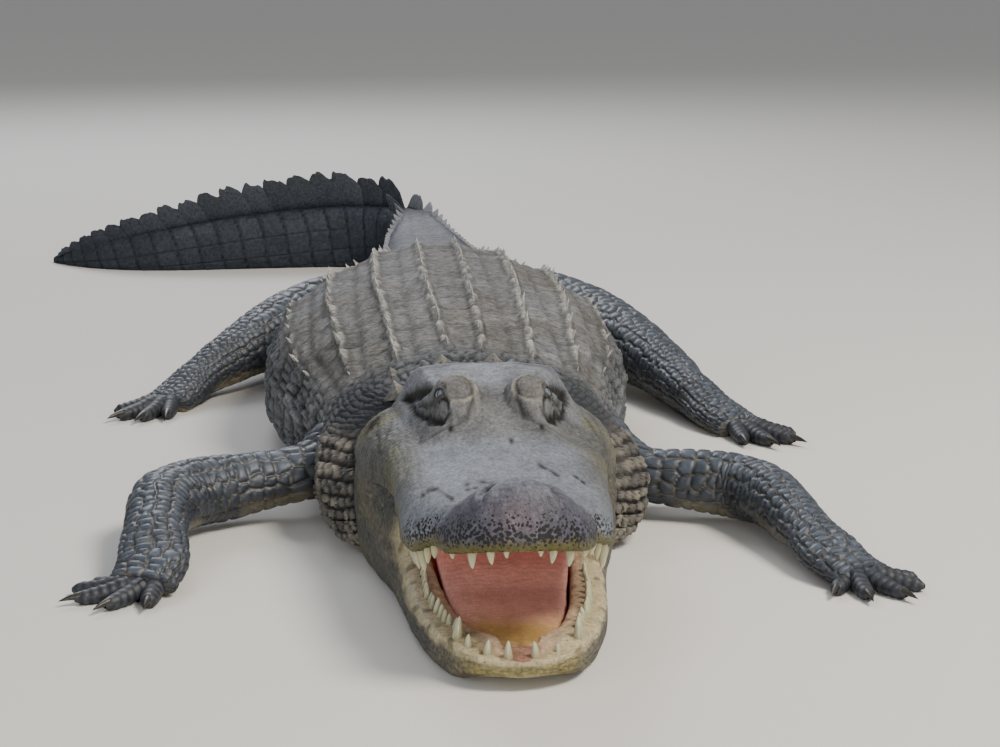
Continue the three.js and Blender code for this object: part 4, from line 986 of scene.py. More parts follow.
def head_relief(points, kind):
    """Lift and colour of the head's hide: nostrils, eye sockets, creases, pits and markings, with painted shade
    in the openings, sockets, creases, lid grooves and pouch wrinkles, and a painted highlight on the lids'
    rims.
    """
    x, s, z = points[..., 0], points[..., 1], points[..., 2]
    across = np.abs(x)
    skin = (kind < 0.5)[None, :]
    outer = (kind < 1.5)[None, :]
    share = across / np.maximum(upper_width(s), 1)
    over_lip = z - lip_height(s)
    mirrored = np.stack([across, s, z], -1)
    lift = (0.9 * ripple(s / 22, x / 16, 71) + 0.5 * ripple(s / 9, x / 6, 83)) * smoothstep(10, 60, s)

    slit, along = path_distance(s, across, NOSTRIL, 0.45)
    rim = bell(slit - 6, 3.5) * skin
    slit = bell(slit, 3.4) * np.sin(math.pi * np.clip(0.1 + 0.8 * along, 0, 1)) * skin
    lift = lift + 1.6 * rim - 6 * slit

    slot, along = path_distance(s, across, SLIT_BEHIND_EYE)
    slot = bell(slot, 1.6 + 3.4 * np.sin(math.pi * along)) * skin
    lift = lift - 8 * slot

    eye = np.linalg.norm(mirrored - eye_front(), axis=-1)
    socket = (1 - smoothstep(7, 12, eye)) * skin
    lift = lift - 4.5 * socket
    pouch, along = path_distance(s, across, [(320, 60), (345, 68), (388, 79)])
    pouch = bell(pouch, 5.5) * (1 - socket) * skin
    wrinkles = ripple((across + s) / 7, (z - 0.3 * across) / 3.2, 77)
    lift = lift + (1.2 * wrinkles - 0.4) * pouch
    button = np.array([BUTTON_ACROSS, BUTTON_S, float(crown_at(BUTTON_S, BUTTON_ACROSS))])
    ring = np.linalg.norm(mirrored - button, axis=-1) + 0.8 * ripple(s / 8, x / 8, 74)
    inner_side = 0.35 + 0.65 * smoothstep(10, -6, across - BUTTON_ACROSS)
    rings = 0.5 * bell(ring - 7.5, 1.1) + 0.7 * bell(ring - 12, 1.1) + 1.2 * bell(ring - 18, 1.5)
    rings = rings * inner_side * skin
    lift = lift - 1.2 * rings + 1.2 * bell(ring - 21.5, 2.2) * inner_side * skin

    folds = 0 * lift
    for path, width, depth in CREASES:
        distance, along = path_distance(s, across + 1.2 * ripple(s / 8, x / 8, 78), path)
        mark = bell(distance, width) * np.sin(math.pi * np.clip(along * 0.9 + 0.05, 0, 1)) ** 0.5
        lift = lift - depth * mark * skin
        folds = np.maximum(folds, mark * min(1, depth / 2.5))
    scratch = 0 * lift
    for path in SCRATCHES:
        distance, along = path_distance(s, x, path, 0.35)
        scratch = np.maximum(scratch, bell(distance, 2.0) * (0.7 + 0.3 * np.sin(9 * along)))
    for pit_s, pit_x in PITS:
        scratch = np.maximum(scratch, bell(np.hypot(0.35 * (s - pit_s), x - pit_x), 2.4))

    dome, shade = scales(s / 6.5, x / 6.5, 73)
    cheek = smoothstep(235, 300, s) * smoothstep(0.5, 0.75, share)
    lift = lift + 1.0 * (0.3 + 0.7 * cheek) * smoothstep(0, 0.6, dome) * smoothstep(25, 60, s) * (1 - socket)
    lift = lift - 0.8 * scratch * skin

    cloud = ripple(s / 34, x / 26, 75) + 0.5 * ripple(s / 13, x / 13, 79)
    tint = blend(SNOUT_GREY, TABLE_GREY, smoothstep(340, 400, s))
    tint = blend(tint, BROW_GREY, 0.8 * smoothstep(250, 290, s) * (1 - smoothstep(345, 380, s)))
    tint = blend(tint, CHEEK_GREY, 0.9 * smoothstep(90, 260, s) * smoothstep(0.62, 0.85, share))
    patchy = 0.16 + 0.14 * smoothstep(330, 380, s)
    tint = tint * (1 + patchy * cloud + 0.12 * ripple(s / 7, x / 4, 84))[..., None]
    tint = blend(tint, OLIVE, 0.5 * cheek * smoothstep(0.1, 0.9, cloud))
    tip = 1 - smoothstep(50, 92, s + 12 * ripple(x / 13, s / 16, 80))
    pad = blend(NOSE_DARK, NOSE_ROSE, 0.7 * bell(np.hypot(x + 4, over_lip - 30), 24))
    pad = pad * (1 + 0.25 * ripple(x / 6, over_lip / 5, 85))[..., None]
    tint = blend(tint, pad, 0.9 * tip * (1 - 0.4 * smoothstep(40, 62, over_lip)))
    edge = 8 + 2 * smoothstep(90, 130, s) - 4 * smoothstep(150, 240, s)
    ragged = 3 * ripple(s / 12, x / 12, 81)
    yellow = (1 - smoothstep(edge - 3, edge + 7, over_lip + ragged)) * smoothstep(300, 250, s)
    tint = blend(tint, LIP_YELLOW, 0.85 * yellow)
    olive = bell(np.hypot(s - 262, 0.8 * (over_lip - 12)), 26) * smoothstep(0.5, 0.8, share)
    tint = blend(tint, OLIVE, 0.8 * olive)
    spots = 0.56 - 0.42 * smoothstep(12, 46, over_lip) - 0.3 * (1 - smoothstep(1, 14, over_lip))
    spots = (spots + 0.1 * ripple(s / 9, x / 9, 82)) * (1 - smoothstep(44, 70, over_lip))
    spots = spots * smoothstep(-0.2, 0.3, tip + 0.4 * (over_lip < 30))
    spots = spots * (1 - smoothstep(110, 210, s)) * outer - 0.3 * smoothstep(105, 210, s)
    tint = tint * (0.88 + 0.24 * shade)[..., None]
    tint = blend(tint, SEAM_AND_SHADE, 0.35 * cheek * (1 - smoothstep(0, 0.35, dome)))
    tint = blend(tint, LID_TAN, 0.7 * (1 - smoothstep(16, 26, ring)) * skin)
    # painted highlight on the raised rim outside the lid's outer groove, strongest on its inner side
    tint = blend(tint, LID_RIM_HIGHLIGHT, 0.5 * bell(ring - 21.5, 2.5) * inner_side * skin)
    # painted shade in the troughs of the pouch's wrinkles and in the grooves round each lid's button
    tint = blend(tint, HOLLOW_SHADE, np.clip(0.35 * pouch * (0.8 - wrinkles) + 0.55 * rings, 0, 1))
    # painted shade: the creases are darkened near black, as shade falls in them
    tint = blend(tint, CREASE_SHADE, np.clip(1.5 * folds, 0, 1) * skin)
    tint = blend(tint, SCRATCH_DARK, np.clip(1.2 * scratch, 0, 1) * skin)
    from_pit = np.hypot(0.5 * (s - 424), 0.8 * (z - 148) + 2 * ripple(s / 6, z / 6, 86))
    from_pit = from_pit + 60 * (x > -90)
    pit_shade = bell(from_pit, 6.5)
    tint = blend(tint, OLIVE, 0.6 * bell(from_pit - 4, 9))
    # painted shade: the nostrils, the slit under the skull table's edge behind each eye and the pit on the
    # right cheek are painted near black
    tint = blend(tint, OPENING_SHADE, np.clip(1.6 * slit + 1.7 * slot + 1.2 * pit_shade, 0, 1))
    # painted shade in each eye's socket
    tint = blend(tint, HOLLOW_SHADE, 0.85 * socket)
    inside = blend(GUM_PINK, MOUTH_RED, smoothstep(150, 260, s))
    inside = inside * (0.9 + 0.2 * ripple(s / 8, x / 8, 76))[..., None]
    tint = np.where((kind > 1.5)[None, :, None], inside, tint)
    roughness = np.where(outer, 0.56, 0.4) - 0.1 * tip * outer
    lift = lift * outer * smoothstep(0, 9, s)
    return lift, np.concatenate([tint, roughness[..., None], spots[..., None]], -1)


head_s, head_x, head_z, head_kind = head_grid()
head_points = np.stack(np.broadcast_arrays(head_x, head_s, head_z), -1)
lift, head_tint = head_relief(head_points, head_kind)
head_points = head_points + lift[..., None] * grid_normals(head_points)
grid_piece("head_skin", head_points, head_tint, HEAD_HIDE, ("head",), caps=(True, True))

# Lower jaw and tongue

JAW_GREY, JAW_BROWN, JAW_YELLOW = linear("50514d"), linear("6b6556"), linear("8f8452")
LIP_CREAM, LIP_BROWN = linear("b9ad8a"), linear("564a33")
GUM_CREAM, GUM_ROSE, GUM_BROWN = linear("b8a084"), linear("94705f"), linear("6d5a45")
TONGUE_TIP, TONGUE_PINK, TONGUE_RED = linear("b8965c"), linear("dca396"), linear("cf776b")

RIM_WIDTH = 34
floor_height = profile([[24, 20], [58, 13], [200, 18], [260, 36], [300, 60]])


def inner_width(s):
    """Half width of the jaw's trough, which rounds off at the chin like a square root."""
    opening = np.sqrt(np.clip((s - 22) / 46, 0, 1))
    return np.maximum((lower_width(s) - RIM_WIDTH) * opening, 0.3 * lower_width(s))


def trough_depth(s):
    """The share of its full depth that the trough has."""
    return smoothstep(22, 36, s) * (1 - smoothstep(248, 286, s))


def curve_weights(count, places):
    """Weights that carry a smooth curve through count points, at places from 0 to count - 1."""
    i = np.clip(np.floor(places), 0, count - 2).astype(int)
    t = places - i
    weights = np.zeros((len(places), count))
    rows = np.arange(len(places))
    terms = [(-1, -0.5 * t + t**2 - 0.5 * t**3), (0, 1 - 2.5 * t**2 + 1.5 * t**3),
             (1, 0.5 * t + 2 * t**2 - 1.5 * t**3), (2, -0.5 * t**2 + 0.5 * t**3)]
    for step, weight in terms:
        np.add.at(weights, (rows, np.clip(i + step, 0, count - 1)), weight)
    return weights


def jaw_half(s):
    """Points of half a jaw section, from under the chin round the side and rim down into the trough."""
    wide, rim, inner = lower_width(s), rim_height(s), inner_width(s)
    chin = 14 * (1 - smoothstep(-8, 45, s))
    round_tip = 1 - smoothstep(0, 90, s)
    depth = trough_depth(s)
    floor = rim + (floor_height(s) - rim) * depth
    tuck = lip_tuck(s)
    return np.stack([
        np.stack([0 * wide, chin], -1),
        np.stack([0.6 * wide, chin], -1),
        np.stack([(0.9 - 0.05 * round_tip) * wide, chin + 4 * round_tip], -1),
        np.stack([(0.985 - 0.02 * round_tip) * wide, chin + 0.24 * (rim - chin)], -1),
        np.stack([wide, chin + 0.55 * (rim - chin)], -1),
        np.stack([0.99 * wide - 0.6 * tuck, chin + 0.86 * (rim - chin)], -1),
        np.stack([0.96 * wide - tuck, rim], -1),
        np.stack([0.5 * (wide + inner) - 0.5 * tuck, rim + 1.5 * depth], -1),
        np.stack([inner, rim], -1),
        np.stack([0.96 * inner, floor + 0.3 * (rim - floor)], -1),
        np.stack([0.8 * inner, floor], -1),
        np.stack([0 * wide, floor], -1),
    ], 1)


jaw_s = np.concatenate([-5.99 + 44 * np.linspace(0, 1, int(40 * FINE)) ** 1.8, np.arange(40, 470, 2.0 / FINE)])
jaw_run = np.concatenate([[0], np.cumsum(np.hypot(np.diff(jaw_s), np.diff(lower_width(jaw_s))))])[:, None]
places = np.concatenate([
    np.linspace(0, 2, int(14 * FINE), endpoint=False),
    np.linspace(2, 8, int(84 * FINE), endpoint=False),
    np.linspace(8, 11, int(30 * FINE)),
])
jaw_curve = np.einsum("pk,skc->spc", curve_weights(12, places), jaw_half(jaw_s))
order = np.concatenate([np.arange(len(places)), np.arange(len(places) - 2, 0, -1)])
sign = np.concatenate([np.ones(len(places)), -np.ones(len(places) - 2)])
jaw_x, jaw_z = jaw_curve[:, order, 0] * sign, jaw_curve[:, order, 1]
jaw_place = places[order][None, :] + 0 * jaw_s[:, None]
jaw_points = np.stack([jaw_x, jaw_s[:, None] + 0 * jaw_x, jaw_z], -1)


def jaw_relief(s, run, x, z, place):
    """Fine scales on the jaw's side, a smooth mottled lip, gum inside it and red walls in the mouth. run is
    the length round the jaw's curve, and place the number of the section's corner there."""
    run = run * np.where(x < 0, 1, -1)
    dome, shade = scales(run / 6.5, z / 6, 83)
    side = smoothstep(1.2, 1.8, place) * (1 - smoothstep(5.0, 5.6, place))
    mouth = 1 - smoothstep(272, 294, s)
    lip = smoothstep(4.2, 5.2, place + 0.3 * ripple(s / 12, z / 9, 88)) * mouth
    lip = lip * (1 - smoothstep(7.0, 7.5, place))
    gum = smoothstep(7.0, 7.6, place) * mouth
    cloud = ripple(run / 34, z / 22, 84) + 0.5 * ripple(run / 12, z / 9, 87)
    lift = 1.2 * smoothstep(0, 0.6, dome) * side + 0.7 * lip * np.cos(s / 5.5)
    lift = lift + 1.5 * ripple(run / 30, z / 20, 81) * side + 0.8 * gum * ripple(s / 9, x / 9, 82)
    tint = blend(JAW_GREY, JAW_BROWN, np.clip(0.4 + 0.5 * cloud, 0, 1))
    pale = 1 - smoothstep(30, 110, run * np.where(x < 0, 1, -1) + 30 * cloud)
    tint = blend(tint, JAW_YELLOW, 0.75 * pale)
    tint = tint * (0.8 + 0.4 * shade)[..., None]
    tint = blend(tint, SEAM_AND_SHADE, 0.5 * (1 - smoothstep(0, 0.4, dome)) * side)
    tint = blend(tint, LIP_CREAM, 0.9 * lip)
    tint = blend(tint, LIP_BROWN, 0.7 * lip * smoothstep(0.35, 0.7, ripple(s / 12, x / 9, 85)))
    inside = blend(GUM_CREAM, GUM_ROSE, smoothstep(7.8, 8.4, place))
    inside = blend(inside, GUM_BROWN, 0.6 * smoothstep(0.2, 0.7, ripple(s / 10, x / 8, 86)))
    inside = blend(inside, MOUTH_RED, smoothstep(8.2, 8.9, place) * smoothstep(26, 60, s))
    tint = blend(tint, inside, gum)
    tint = blend(tint, BELLY_CREAM, 1 - smoothstep(0.8, 1.6, place))
    roughness = 0.6 - 0.2 * gum - 0.12 * lip
    spots = 0.42 * lip - 0.3
    return lift * smoothstep(-5.8, 4, s), np.concatenate([tint, roughness[..., None], spots[..., None]], -1)


lift, jaw_tint = jaw_relief(jaw_s[:, None] + 0 * jaw_x, jaw_run, jaw_x, jaw_z, jaw_place)
jaw_points = jaw_points + lift[..., None] * grid_normals(jaw_points)
grid_piece("jaw_skin", jaw_points, jaw_tint, JAW_HIDE, ("lower_jaw",), caps=(True, True))

tongue_top = profile([[34, 19], [46, 26], [100, 30], [170, 38], [220, 54], [250, 72], [276, 94]])


def tongue_grid():
    """A broad pad: a flattened arch over its base, pebbled and split by a shallow groove."""
    s = np.linspace(40, 278, int(140 * FINE))[:, None]
    wide = (inner_width(s) - 3) * 0.97
    base = floor_height(s) * trough_depth(s) + rim_height(s) * (1 - trough_depth(s)) + GAP
    top = np.maximum(tongue_top(s), base + 4) * np.minimum(1, 0.6 + 0.4 * smoothstep(40, 56, s))
    turn = np.linspace(0, 2 * math.pi, int(110 * FINE), endpoint=False)[None, :]
    x = wide * np.sign(np.sin(turn)) * np.abs(np.sin(turn)) ** 0.8
    crown = np.sign(np.cos(turn)) * np.abs(np.cos(turn)) ** 0.55
    z = np.where(crown > 0, top - 7 + 7 * crown, top - 7 + crown * np.maximum(top - 7 - base, 1))
    dome, shade = scales(s / 6, x / 6, 91)
    lift = 0.6 * smoothstep(0, 0.7, dome) + 1.4 * ripple(s / 36, x / 24, 92) - 2 * bell(x, 4)
    points = np.stack(np.broadcast_arrays(x, s, z), -1)
    points = points + (lift * (crown > 0))[..., None] * grid_normals(points)
    tint = blend(TONGUE_TIP, TONGUE_PINK, smoothstep(75, 140, s + 10 * ripple(x / 12, s / 12, 94)) + 0 * x)
    tint = blend(tint, TONGUE_RED, smoothstep(180, 260, s) * 0.8 + 0 * x)
    tint = tint * (0.93 + 0.14 * shade)[..., None]
    return points, np.concatenate([tint, np.full(tint.shape[:2] + (1,), 0.42)], -1)


tongue_points, tongue_tint = tongue_grid()
grid_piece("tongue_flesh", tongue_points, tongue_tint, FLESH, ("tongue",), caps=(True, True))


# Teeth and claws: curved cones


TOOTH_ROOT, TOOTH_TIP = linear("837a52"), linear("bfc19f")
CLAW_ROOT, CLAW_TIP = linear("3a3631"), linear("17150f")


def cones(name, roots, ways, bends, lengths, radii, tint, material, blunt=0.6, rows=10, columns=12):
    """Cones that curve from their way towards their bend. The radius falls as a power of the distance
    from the tip, so that a blunt one has a rounded end."""
    t = np.linspace(0, 1, rows)[None, :, None, None]
    turn = np.linspace(0, 2 * math.pi, columns, endpoint=False)[None, None, :, None]
    ways = ways / np.linalg.norm(ways, axis=1, keepdims=True)
    side = np.cross(ways, bends)
    side = side / np.maximum(np.linalg.norm(side, axis=1, keepdims=True), 1e-6)
    other = np.cross(ways, side)
    roots, ways, bends, side, other = (a[:, None, None, :] for a in (roots, ways, bends, side, other))
    lengths, radii = (a[:, None, None, None] for a in (lengths, radii))
    middle = roots + ways * lengths * t + bends * lengths * t**2
    radius = radii * np.maximum(1 - t, 0.002) ** blunt
    points = middle + radius * (np.cos(turn) * side + np.sin(turn) * other)
    colour = blend(*tint, np.broadcast_to(t[..., 0], points.shape[:3]))
    colour = colour * (0.88 + 0.24 * chance(np.arange(len(roots)), 5, 95))[:, None, None, None]
    return many_piece(name, points, np.concatenate([colour, np.full(colour.shape[:3] + (1,), 0.35)], -1),
                      material)


def tooth_places(front, row, inset, width):
    """The front teeth one by one as (across, s, length), and the others in a row inside the lip."""
    places = list(front)
    start, pitch, sizes = row
    for size in sizes:
        across = float(width(start) - lip_tuck(start)) - inset
        places += [(side * across, start, size) for side in (-1, 1)]
        start += pitch + 0.2 * size
    return np.array(places, float)


UPPER_FRONT = [(-43, 20, 15), (-28, 10, 9), (-14, 6, 5), (16, 6, 4), (28, 10, 12), (44, 21, 15), (-60, 46, 6),
               (60, 46, 6)]
LOWER_FRONT = [(-12, 5, 16), (-31, 12, 10), (-47, 26, 11), (-56, 40, 19), (12, 5, 16), (33, 13, 6),
               (53, 34, 20)]
# the rows behind them: first station, gap, and the length of each tooth
UPPER_ROW = (84, 7, [7, 12, 16, 20, 18, 14, 12, 10, 10, 11, 12, 11, 10, 9, 8])
LOWER_ROW = (60, 11, [10, 10, 12, 14, 14, 13, 12, 11, 11, 10, 10, 9])
ROOT_DEPTH = 6
for name, table, up, base in (
    ("upper_teeth", tooth_places(UPPER_FRONT, UPPER_ROW, 9, upper_width), -1, lip_height),
    ("lower_teeth", tooth_places(LOWER_FRONT, LOWER_ROW, 17, lower_width), 1, rim_height),
):
    x, s, size = table.T
    number = np.arange(len(size))
    size = size * (1 + 0.16 * (2 * chance(number, 2, 97) - 1))
    roots = np.stack([x, s, base(s) - up * ROOT_DEPTH], -1)
    luck = chance(number, 4, 98) - 0.5
    other_luck = chance(number, 6, 99) - 0.5
    ways = np.stack([0.1 * np.sign(x) + 0.16 * luck, -0.06 + 0.18 * other_luck, up + 0 * s], -1)
    bends = np.stack([-0.12 * np.sign(x), 0.1 + 0 * s, 0 * s], -1)
    cones(name, roots, ways, bends, size + ROOT_DEPTH + 1, 3.4 + 0.13 * size, (TOOTH_ROOT, TOOTH_TIP), TOOTH,
          blunt=0.5)

# Legs: an oval section carried along a curve through the joints


def limb_curve(path, count):
    """Evenly spaced points along a smooth curve through the path, two directions across it, and its
    length."""
    path = np.array(path, float)
    chord = np.concatenate([[0], np.cumsum(np.linalg.norm(np.diff(path, axis=0), axis=1) ** 0.75)])
    fine = np.linspace(0, chord[-1], 400)
    at = np.interp(fine, chord, np.arange(len(path)))
    dense = curve_weights(len(path), at) @ path
    run = np.concatenate([[0], np.cumsum(np.linalg.norm(np.diff(dense, axis=0), axis=1))])
    spots = np.interp(np.linspace(0, run[-1], count), run, np.arange(400))
    points = np.stack([np.interp(spots, np.arange(400), dense[:, k]) for k in range(3)], -1)
    along = np.gradient(points, axis=0)
    along = along / np.linalg.norm(along, axis=1, keepdims=True)
    side = np.cross(along, [0, 0, 1])
    side = side / np.linalg.norm(side, axis=1, keepdims=True)
    return points, side, np.cross(side, along), run[-1]


SLATE = linear("1d2025")
SLATE_LIGHT = linear("363a41")
# painted highlight for the crowns of the leg scales
SLATE_HIGHLIGHT = linear("4c5561")
SEAM_PALE = linear("6f6a5e")
LEG_CREAM = linear("9d9272")


def limb_grid(path, sizes, cream, count):
    """A leg down to its palm. Its scales are large and many-sided above, and shorten to bands below the
    elbow or knee, count of them round the leg, with fine pale seams. Their ends meet on the underside."""
    points, side, up, length = limb_curve(path, int(240 * FINE))
    t = np.linspace(0, 1, len(points))
    across = profile([(a, w) for a, w, _ in sizes])(t)[:, None, None]
    upright = profile([(a, h) for a, _, h in sizes])(t)[:, None, None]
    turn = np.linspace(0.5 * math.pi, 2.5 * math.pi, int(180 * FINE), endpoint=False)[None, :, None]
    grid = points[:, None] + across * np.cos(turn) * side[:, None] - upright * np.sin(turn) * up[:, None]
    run = (t * length)[:, None]
    girth = turn[..., 0] * across[..., 0]
    pitch = np.interp(t, [0, 0.42, 0.56, 1], [21, 19, 12, 10])
    row = np.cumsum(np.gradient(t * length) / pitch)[:, None] + 0.25 * ripple(run / 34, girth / 26, 101)
    column = (turn[..., 0] / (2 * math.pi) - 0.25) * count + 0.2 * ripple(run / 22, girth / 22, 106)
    dome, shade = scales(row, column, 107, 0.6)
    lift = 2.4 * smoothstep(0, 0.4, dome) + 0.8 * smoothstep(0.3, 1, dome)
    lift = lift + 1.6 * ripple(run / 40, girth / 26, 102)
    grid = grid + lift[..., None] * grid_normals(grid)
    grid[..., 2] = np.maximum(grid[..., 2], 0)
    top = smoothstep(0.0, 0.9, -np.sin(turn[..., 0])) + 0 * run
    tint = blend(SLATE, SLATE_LIGHT, 0.5 + 0.5 * ripple(run / 35, girth / 30, 103))
    # painted highlight: blue-grey on the scales' crowns, stronger on the leg's upper side
    tint = blend(tint, SLATE_HIGHLIGHT, (0.25 + 0.5 * top) * smoothstep(0.1, 0.6, dome))
    tint = tint * (0.75 + 0.5 * shade)[..., None]
    tint = blend(tint, SEAM_PALE, 0.8 * (1 - smoothstep(0.02, 0.13, dome)))
    under = smoothstep(0.1, 0.7, np.sin(turn[..., 0])) * cream
    tint = blend(tint, LEG_CREAM, 0.7 * under * smoothstep(-0.2, 0.5, ripple(run / 50, girth / 40, 105)))
    return grid, np.concatenate([tint, np.full(tint.shape[:2] + (1,), 0.42)], -1)


# Sizes of a leg: share of the way down it, half width across and half height there
RIGHT_ARM_SIZES = [(0, 60, 56), (0.18, 48, 44), (0.32, 33, 30), (0.48, 36, 34), (0.62, 38, 36), (0.8, 31, 26),
                   (0.92, 35, 17), (1, 34, 13)]
LEFT_ARM_SIZES = [(0, 60, 56), (0.18, 46, 42), (0.34, 31, 29), (0.52, 33, 34), (0.66, 31, 31), (0.82, 26, 21),
                  (0.92, 34, 16), (1, 34, 12)]
LEG_SIZES = [(0, 60, 60), (0.16, 60, 60), (0.26, 56, 56), (0.42, 54, 50), (0.56, 44, 45), (0.7, 37, 35),
             (0.83, 29, 27), (0.93, 34, 18), (1, 33, 14)]
# Toes: degrees outwards from straight ahead, length, and whether it has a claw
FOOT_TOES = [(2, 66, 1), (22, 84, 1), (42, 88, 1), (64, 68, 0)]
# Each leg: name, nodes, side, sizes, the path of its middle as (across, s, z), toes, and their radius
LIMBS = [
    ("arm_right", ("arm_upper_right", "forearm_right", "hand_right"), -1, RIGHT_ARM_SIZES,
     [(-60, 700, 92), (-130, 652, 74), (-183, 604, 54), (-257, 577, 45), (-312, 545, 44), (-347, 492, 44),
      (-350, 394, 38), (-348, 335, 24), (-356, 300, 12)],
     [(6, 50, 1), (38, 66, 1), (68, 70, 1), (98, 64, 0), (128, 50, 0)], 11),
    ("arm_left", ("arm_upper_left", "forearm_left", "hand_left"), 1, LEFT_ARM_SIZES,
     [(60, 700, 92), (134, 644, 72), (191, 577, 50), (258, 552, 45), (305, 528, 42), (331, 469, 42),
      (344, 388, 35), (362, 322, 22), (384, 282, 11)],
     [(-28, 46, 1), (2, 62, 1), (30, 68, 1), (60, 60, 0), (92, 46, 0)], 10.5),
    ("leg_right", ("thigh_right", "shank_right", "foot_right"), -1, LEG_SIZES,
     [(-30, 1430, 92), (-96, 1462, 90), (-160, 1474, 84), (-214, 1444, 75), (-259, 1376, 65), (-304, 1306, 52),
      (-345, 1254, 37), (-376, 1206, 22), (-400, 1160, 11)], FOOT_TOES, 12.5),
    ("leg_left", ("thigh_left", "shank_left", "foot_left"), 1, LEG_SIZES,
     [(30, 1430, 92), (106, 1464, 90), (180, 1452, 84), (238, 1372, 74), (282, 1253, 60), (313, 1162, 46),
      (334, 1080, 34), (359, 1009, 21), (384, 952, 11)], FOOT_TOES, 12.5),
]


def toe_grids(end, toes, side, radius):
    """Toes as tapering tubes that lie on the ground, arched at the knuckle and ringed with scales."""
    middle = sum(way for way, _, _ in toes) / len(toes)
    t = np.linspace(0, 1, int(44 * FINE))[:, None]
    turn = np.linspace(0, 2 * math.pi, int(22 * FINE), endpoint=False)[None, :]
    grids, claws = [], []
    for way, length, clawed in toes:
        angle, fan = side * math.radians(way), side * math.radians(way - middle)
        ahead = np.array([math.sin(angle), -math.cos(angle)])
        beside = np.array([-ahead[1], ahead[0]])
        root = np.array([end[0] - 20 * math.sin(angle) + 16 * math.sin(fan), end[1] + 24 * math.cos(angle)])
        reach = (length + 20) * t
        wide = radius * np.interp(t, [0, 0.35, 0.7, 0.92, 1], [1.15, 1.0, 0.92, 0.72, 0.25])
        rings = 1 + 0.05 * np.cos(2 * math.pi * t * (length + 20) / 9)
        height = radius * (0.95 + 0.35 * bell(t - 0.42, 0.16) - 0.35 * t)
        x = root[0] + ahead[0] * reach + beside[0] * wide * rings * np.cos(turn)
        y = root[1] + ahead[1] * reach + beside[1] * wide * rings * np.cos(turn)
        z = np.maximum(height + 0.92 * wide * rings * np.sin(turn), 0)
        grids.append(np.stack([x, y, z], -1))
        if clawed:
            tip = root + ahead * (length + 12)
            claws.append((tip[0], tip[1], radius * 0.85, ahead[0], ahead[1], 2.3 * radius, 0.45 * radius))
    return np.array(grids), claws


all_toes, all_claws = [], []
for name, nodes, side, sizes, path, toes, radius in LIMBS:
    cream, scale_count = (1.0, 17) if "leg" in name else (0.5, 12)
    grid, tint = limb_grid(path, sizes, cream, scale_count)
    grid_piece(f"{name}_skin", grid, tint, LIMB_HIDE, nodes, caps=(True, True))
    grids, claws = toe_grids(path[-1], toes, side, radius)
    all_toes.append(grids)
    all_claws += claws
toes = np.concatenate(all_toes)
rows_share = np.linspace(0, 1, toes.shape[1])[None, :, None]
ring = 0.5 + 0.5 * np.cos(2 * math.pi * rows_share * 9)
toe_tint = blend(SLATE, SLATE_LIGHT, ring + np.zeros(toes.shape[:3]))
toe_tint = np.concatenate([toe_tint, np.full(toes.shape[:3] + (1,), 0.5)], -1)
many_piece("toes", toes, toe_tint, LIMB_HIDE)
claw_x, claw_s, claw_z, ahead_x, ahead_s, length, radius = np.array(all_claws).T
flat = np.zeros(len(claw_x))
cones("claws", np.stack([claw_x, claw_s, claw_z], -1), np.stack([ahead_x, ahead_s, flat + 0.05], -1),
      np.stack([flat, flat, flat - 0.16], -1), length, radius, (CLAW_ROOT, CLAW_TIP), CLAW, blunt=0.8)

# Eyes and lids


def eye_material():
    """A living eye is a wet, clear cornea over a coloured iris: the colour comes from the tint, and a clear
    smooth coat gives one small sharp light on it."""
    material = bpy.data.materials.new("wet eye")
    material.use_nodes = True
    tree = material.node_tree
    shader = tree.nodes["Principled BSDF"]
    tint = add(tree, "ShaderNodeAttribute", attribute_name="tint")
    tree.links.new(tint.outputs["Color"], shader.inputs["Base Color"])
    shader.inputs["Roughness"].default_value = 0.12
    shader.inputs["Coat Weight"].default_value = 1.0
    shader.inputs["Coat Roughness"].default_value = 0.03
    return material


EYE = eye_material()


def on_sphere(centre, radius, axes, polar, around):
    """Places on a sphere, polar radians from the way the eye looks and around radians about it."""
    look, level, upright = axes
    ring = np.sin(polar)
    return centre + radius[..., None] * (
        np.cos(polar)[..., None] * look + (ring * np.cos(around))[..., None] * level
        + (ring * np.sin(around))[..., None] * upright)


IRIS_DARK, IRIS_PALE = linear("566070"), linear("7d8791")
EYE_RIM, PUPIL_BLACK = linear("211c15"), linear("050505")
# the lids' grey, with painted shade for their fold troughs and for the rim of their opening
LID_FOLD_SHADE, LID_GREY, LID_EDGE_SHADE = linear("292827"), linear("555453"), linear("14110f")


def eyeball(centre, axes):
    """A ball with an iris of fine fibres, a slit pupil that stands upright, and a dark rim."""
    polar = np.linspace(0.01, math.pi - 0.01, int(60 * FINE))[:, None]
    around = np.linspace(0, 2 * math.pi, int(72 * FINE), endpoint=False)[None, :]
    polar, around = polar + 0 * around, around + 0 * polar
    ball = on_sphere(centre, EYE_RADIUS + 0 * polar, axes, polar, around)
    beside = np.abs(np.sin(polar) * np.cos(around))
    above = np.abs(np.sin(polar) * np.sin(around))
    fibres = 0.5 + 0.5 * ripple(around * 14, polar * 6, 111)
    tint = blend(IRIS_DARK, IRIS_PALE, fibres)
    tint = blend(tint, EYE_RIM, smoothstep(0.5, 0.68, polar))
    pupil = (1 - smoothstep(0.05, 0.09, beside)) * (1 - smoothstep(0.30, 0.38, above)) * (polar < 1.2)
    tint = blend(tint, PUPIL_BLACK, pupil)
    return ball, np.concatenate([tint, np.full(tint.shape[:2] + (1,), 0.1)], -1)


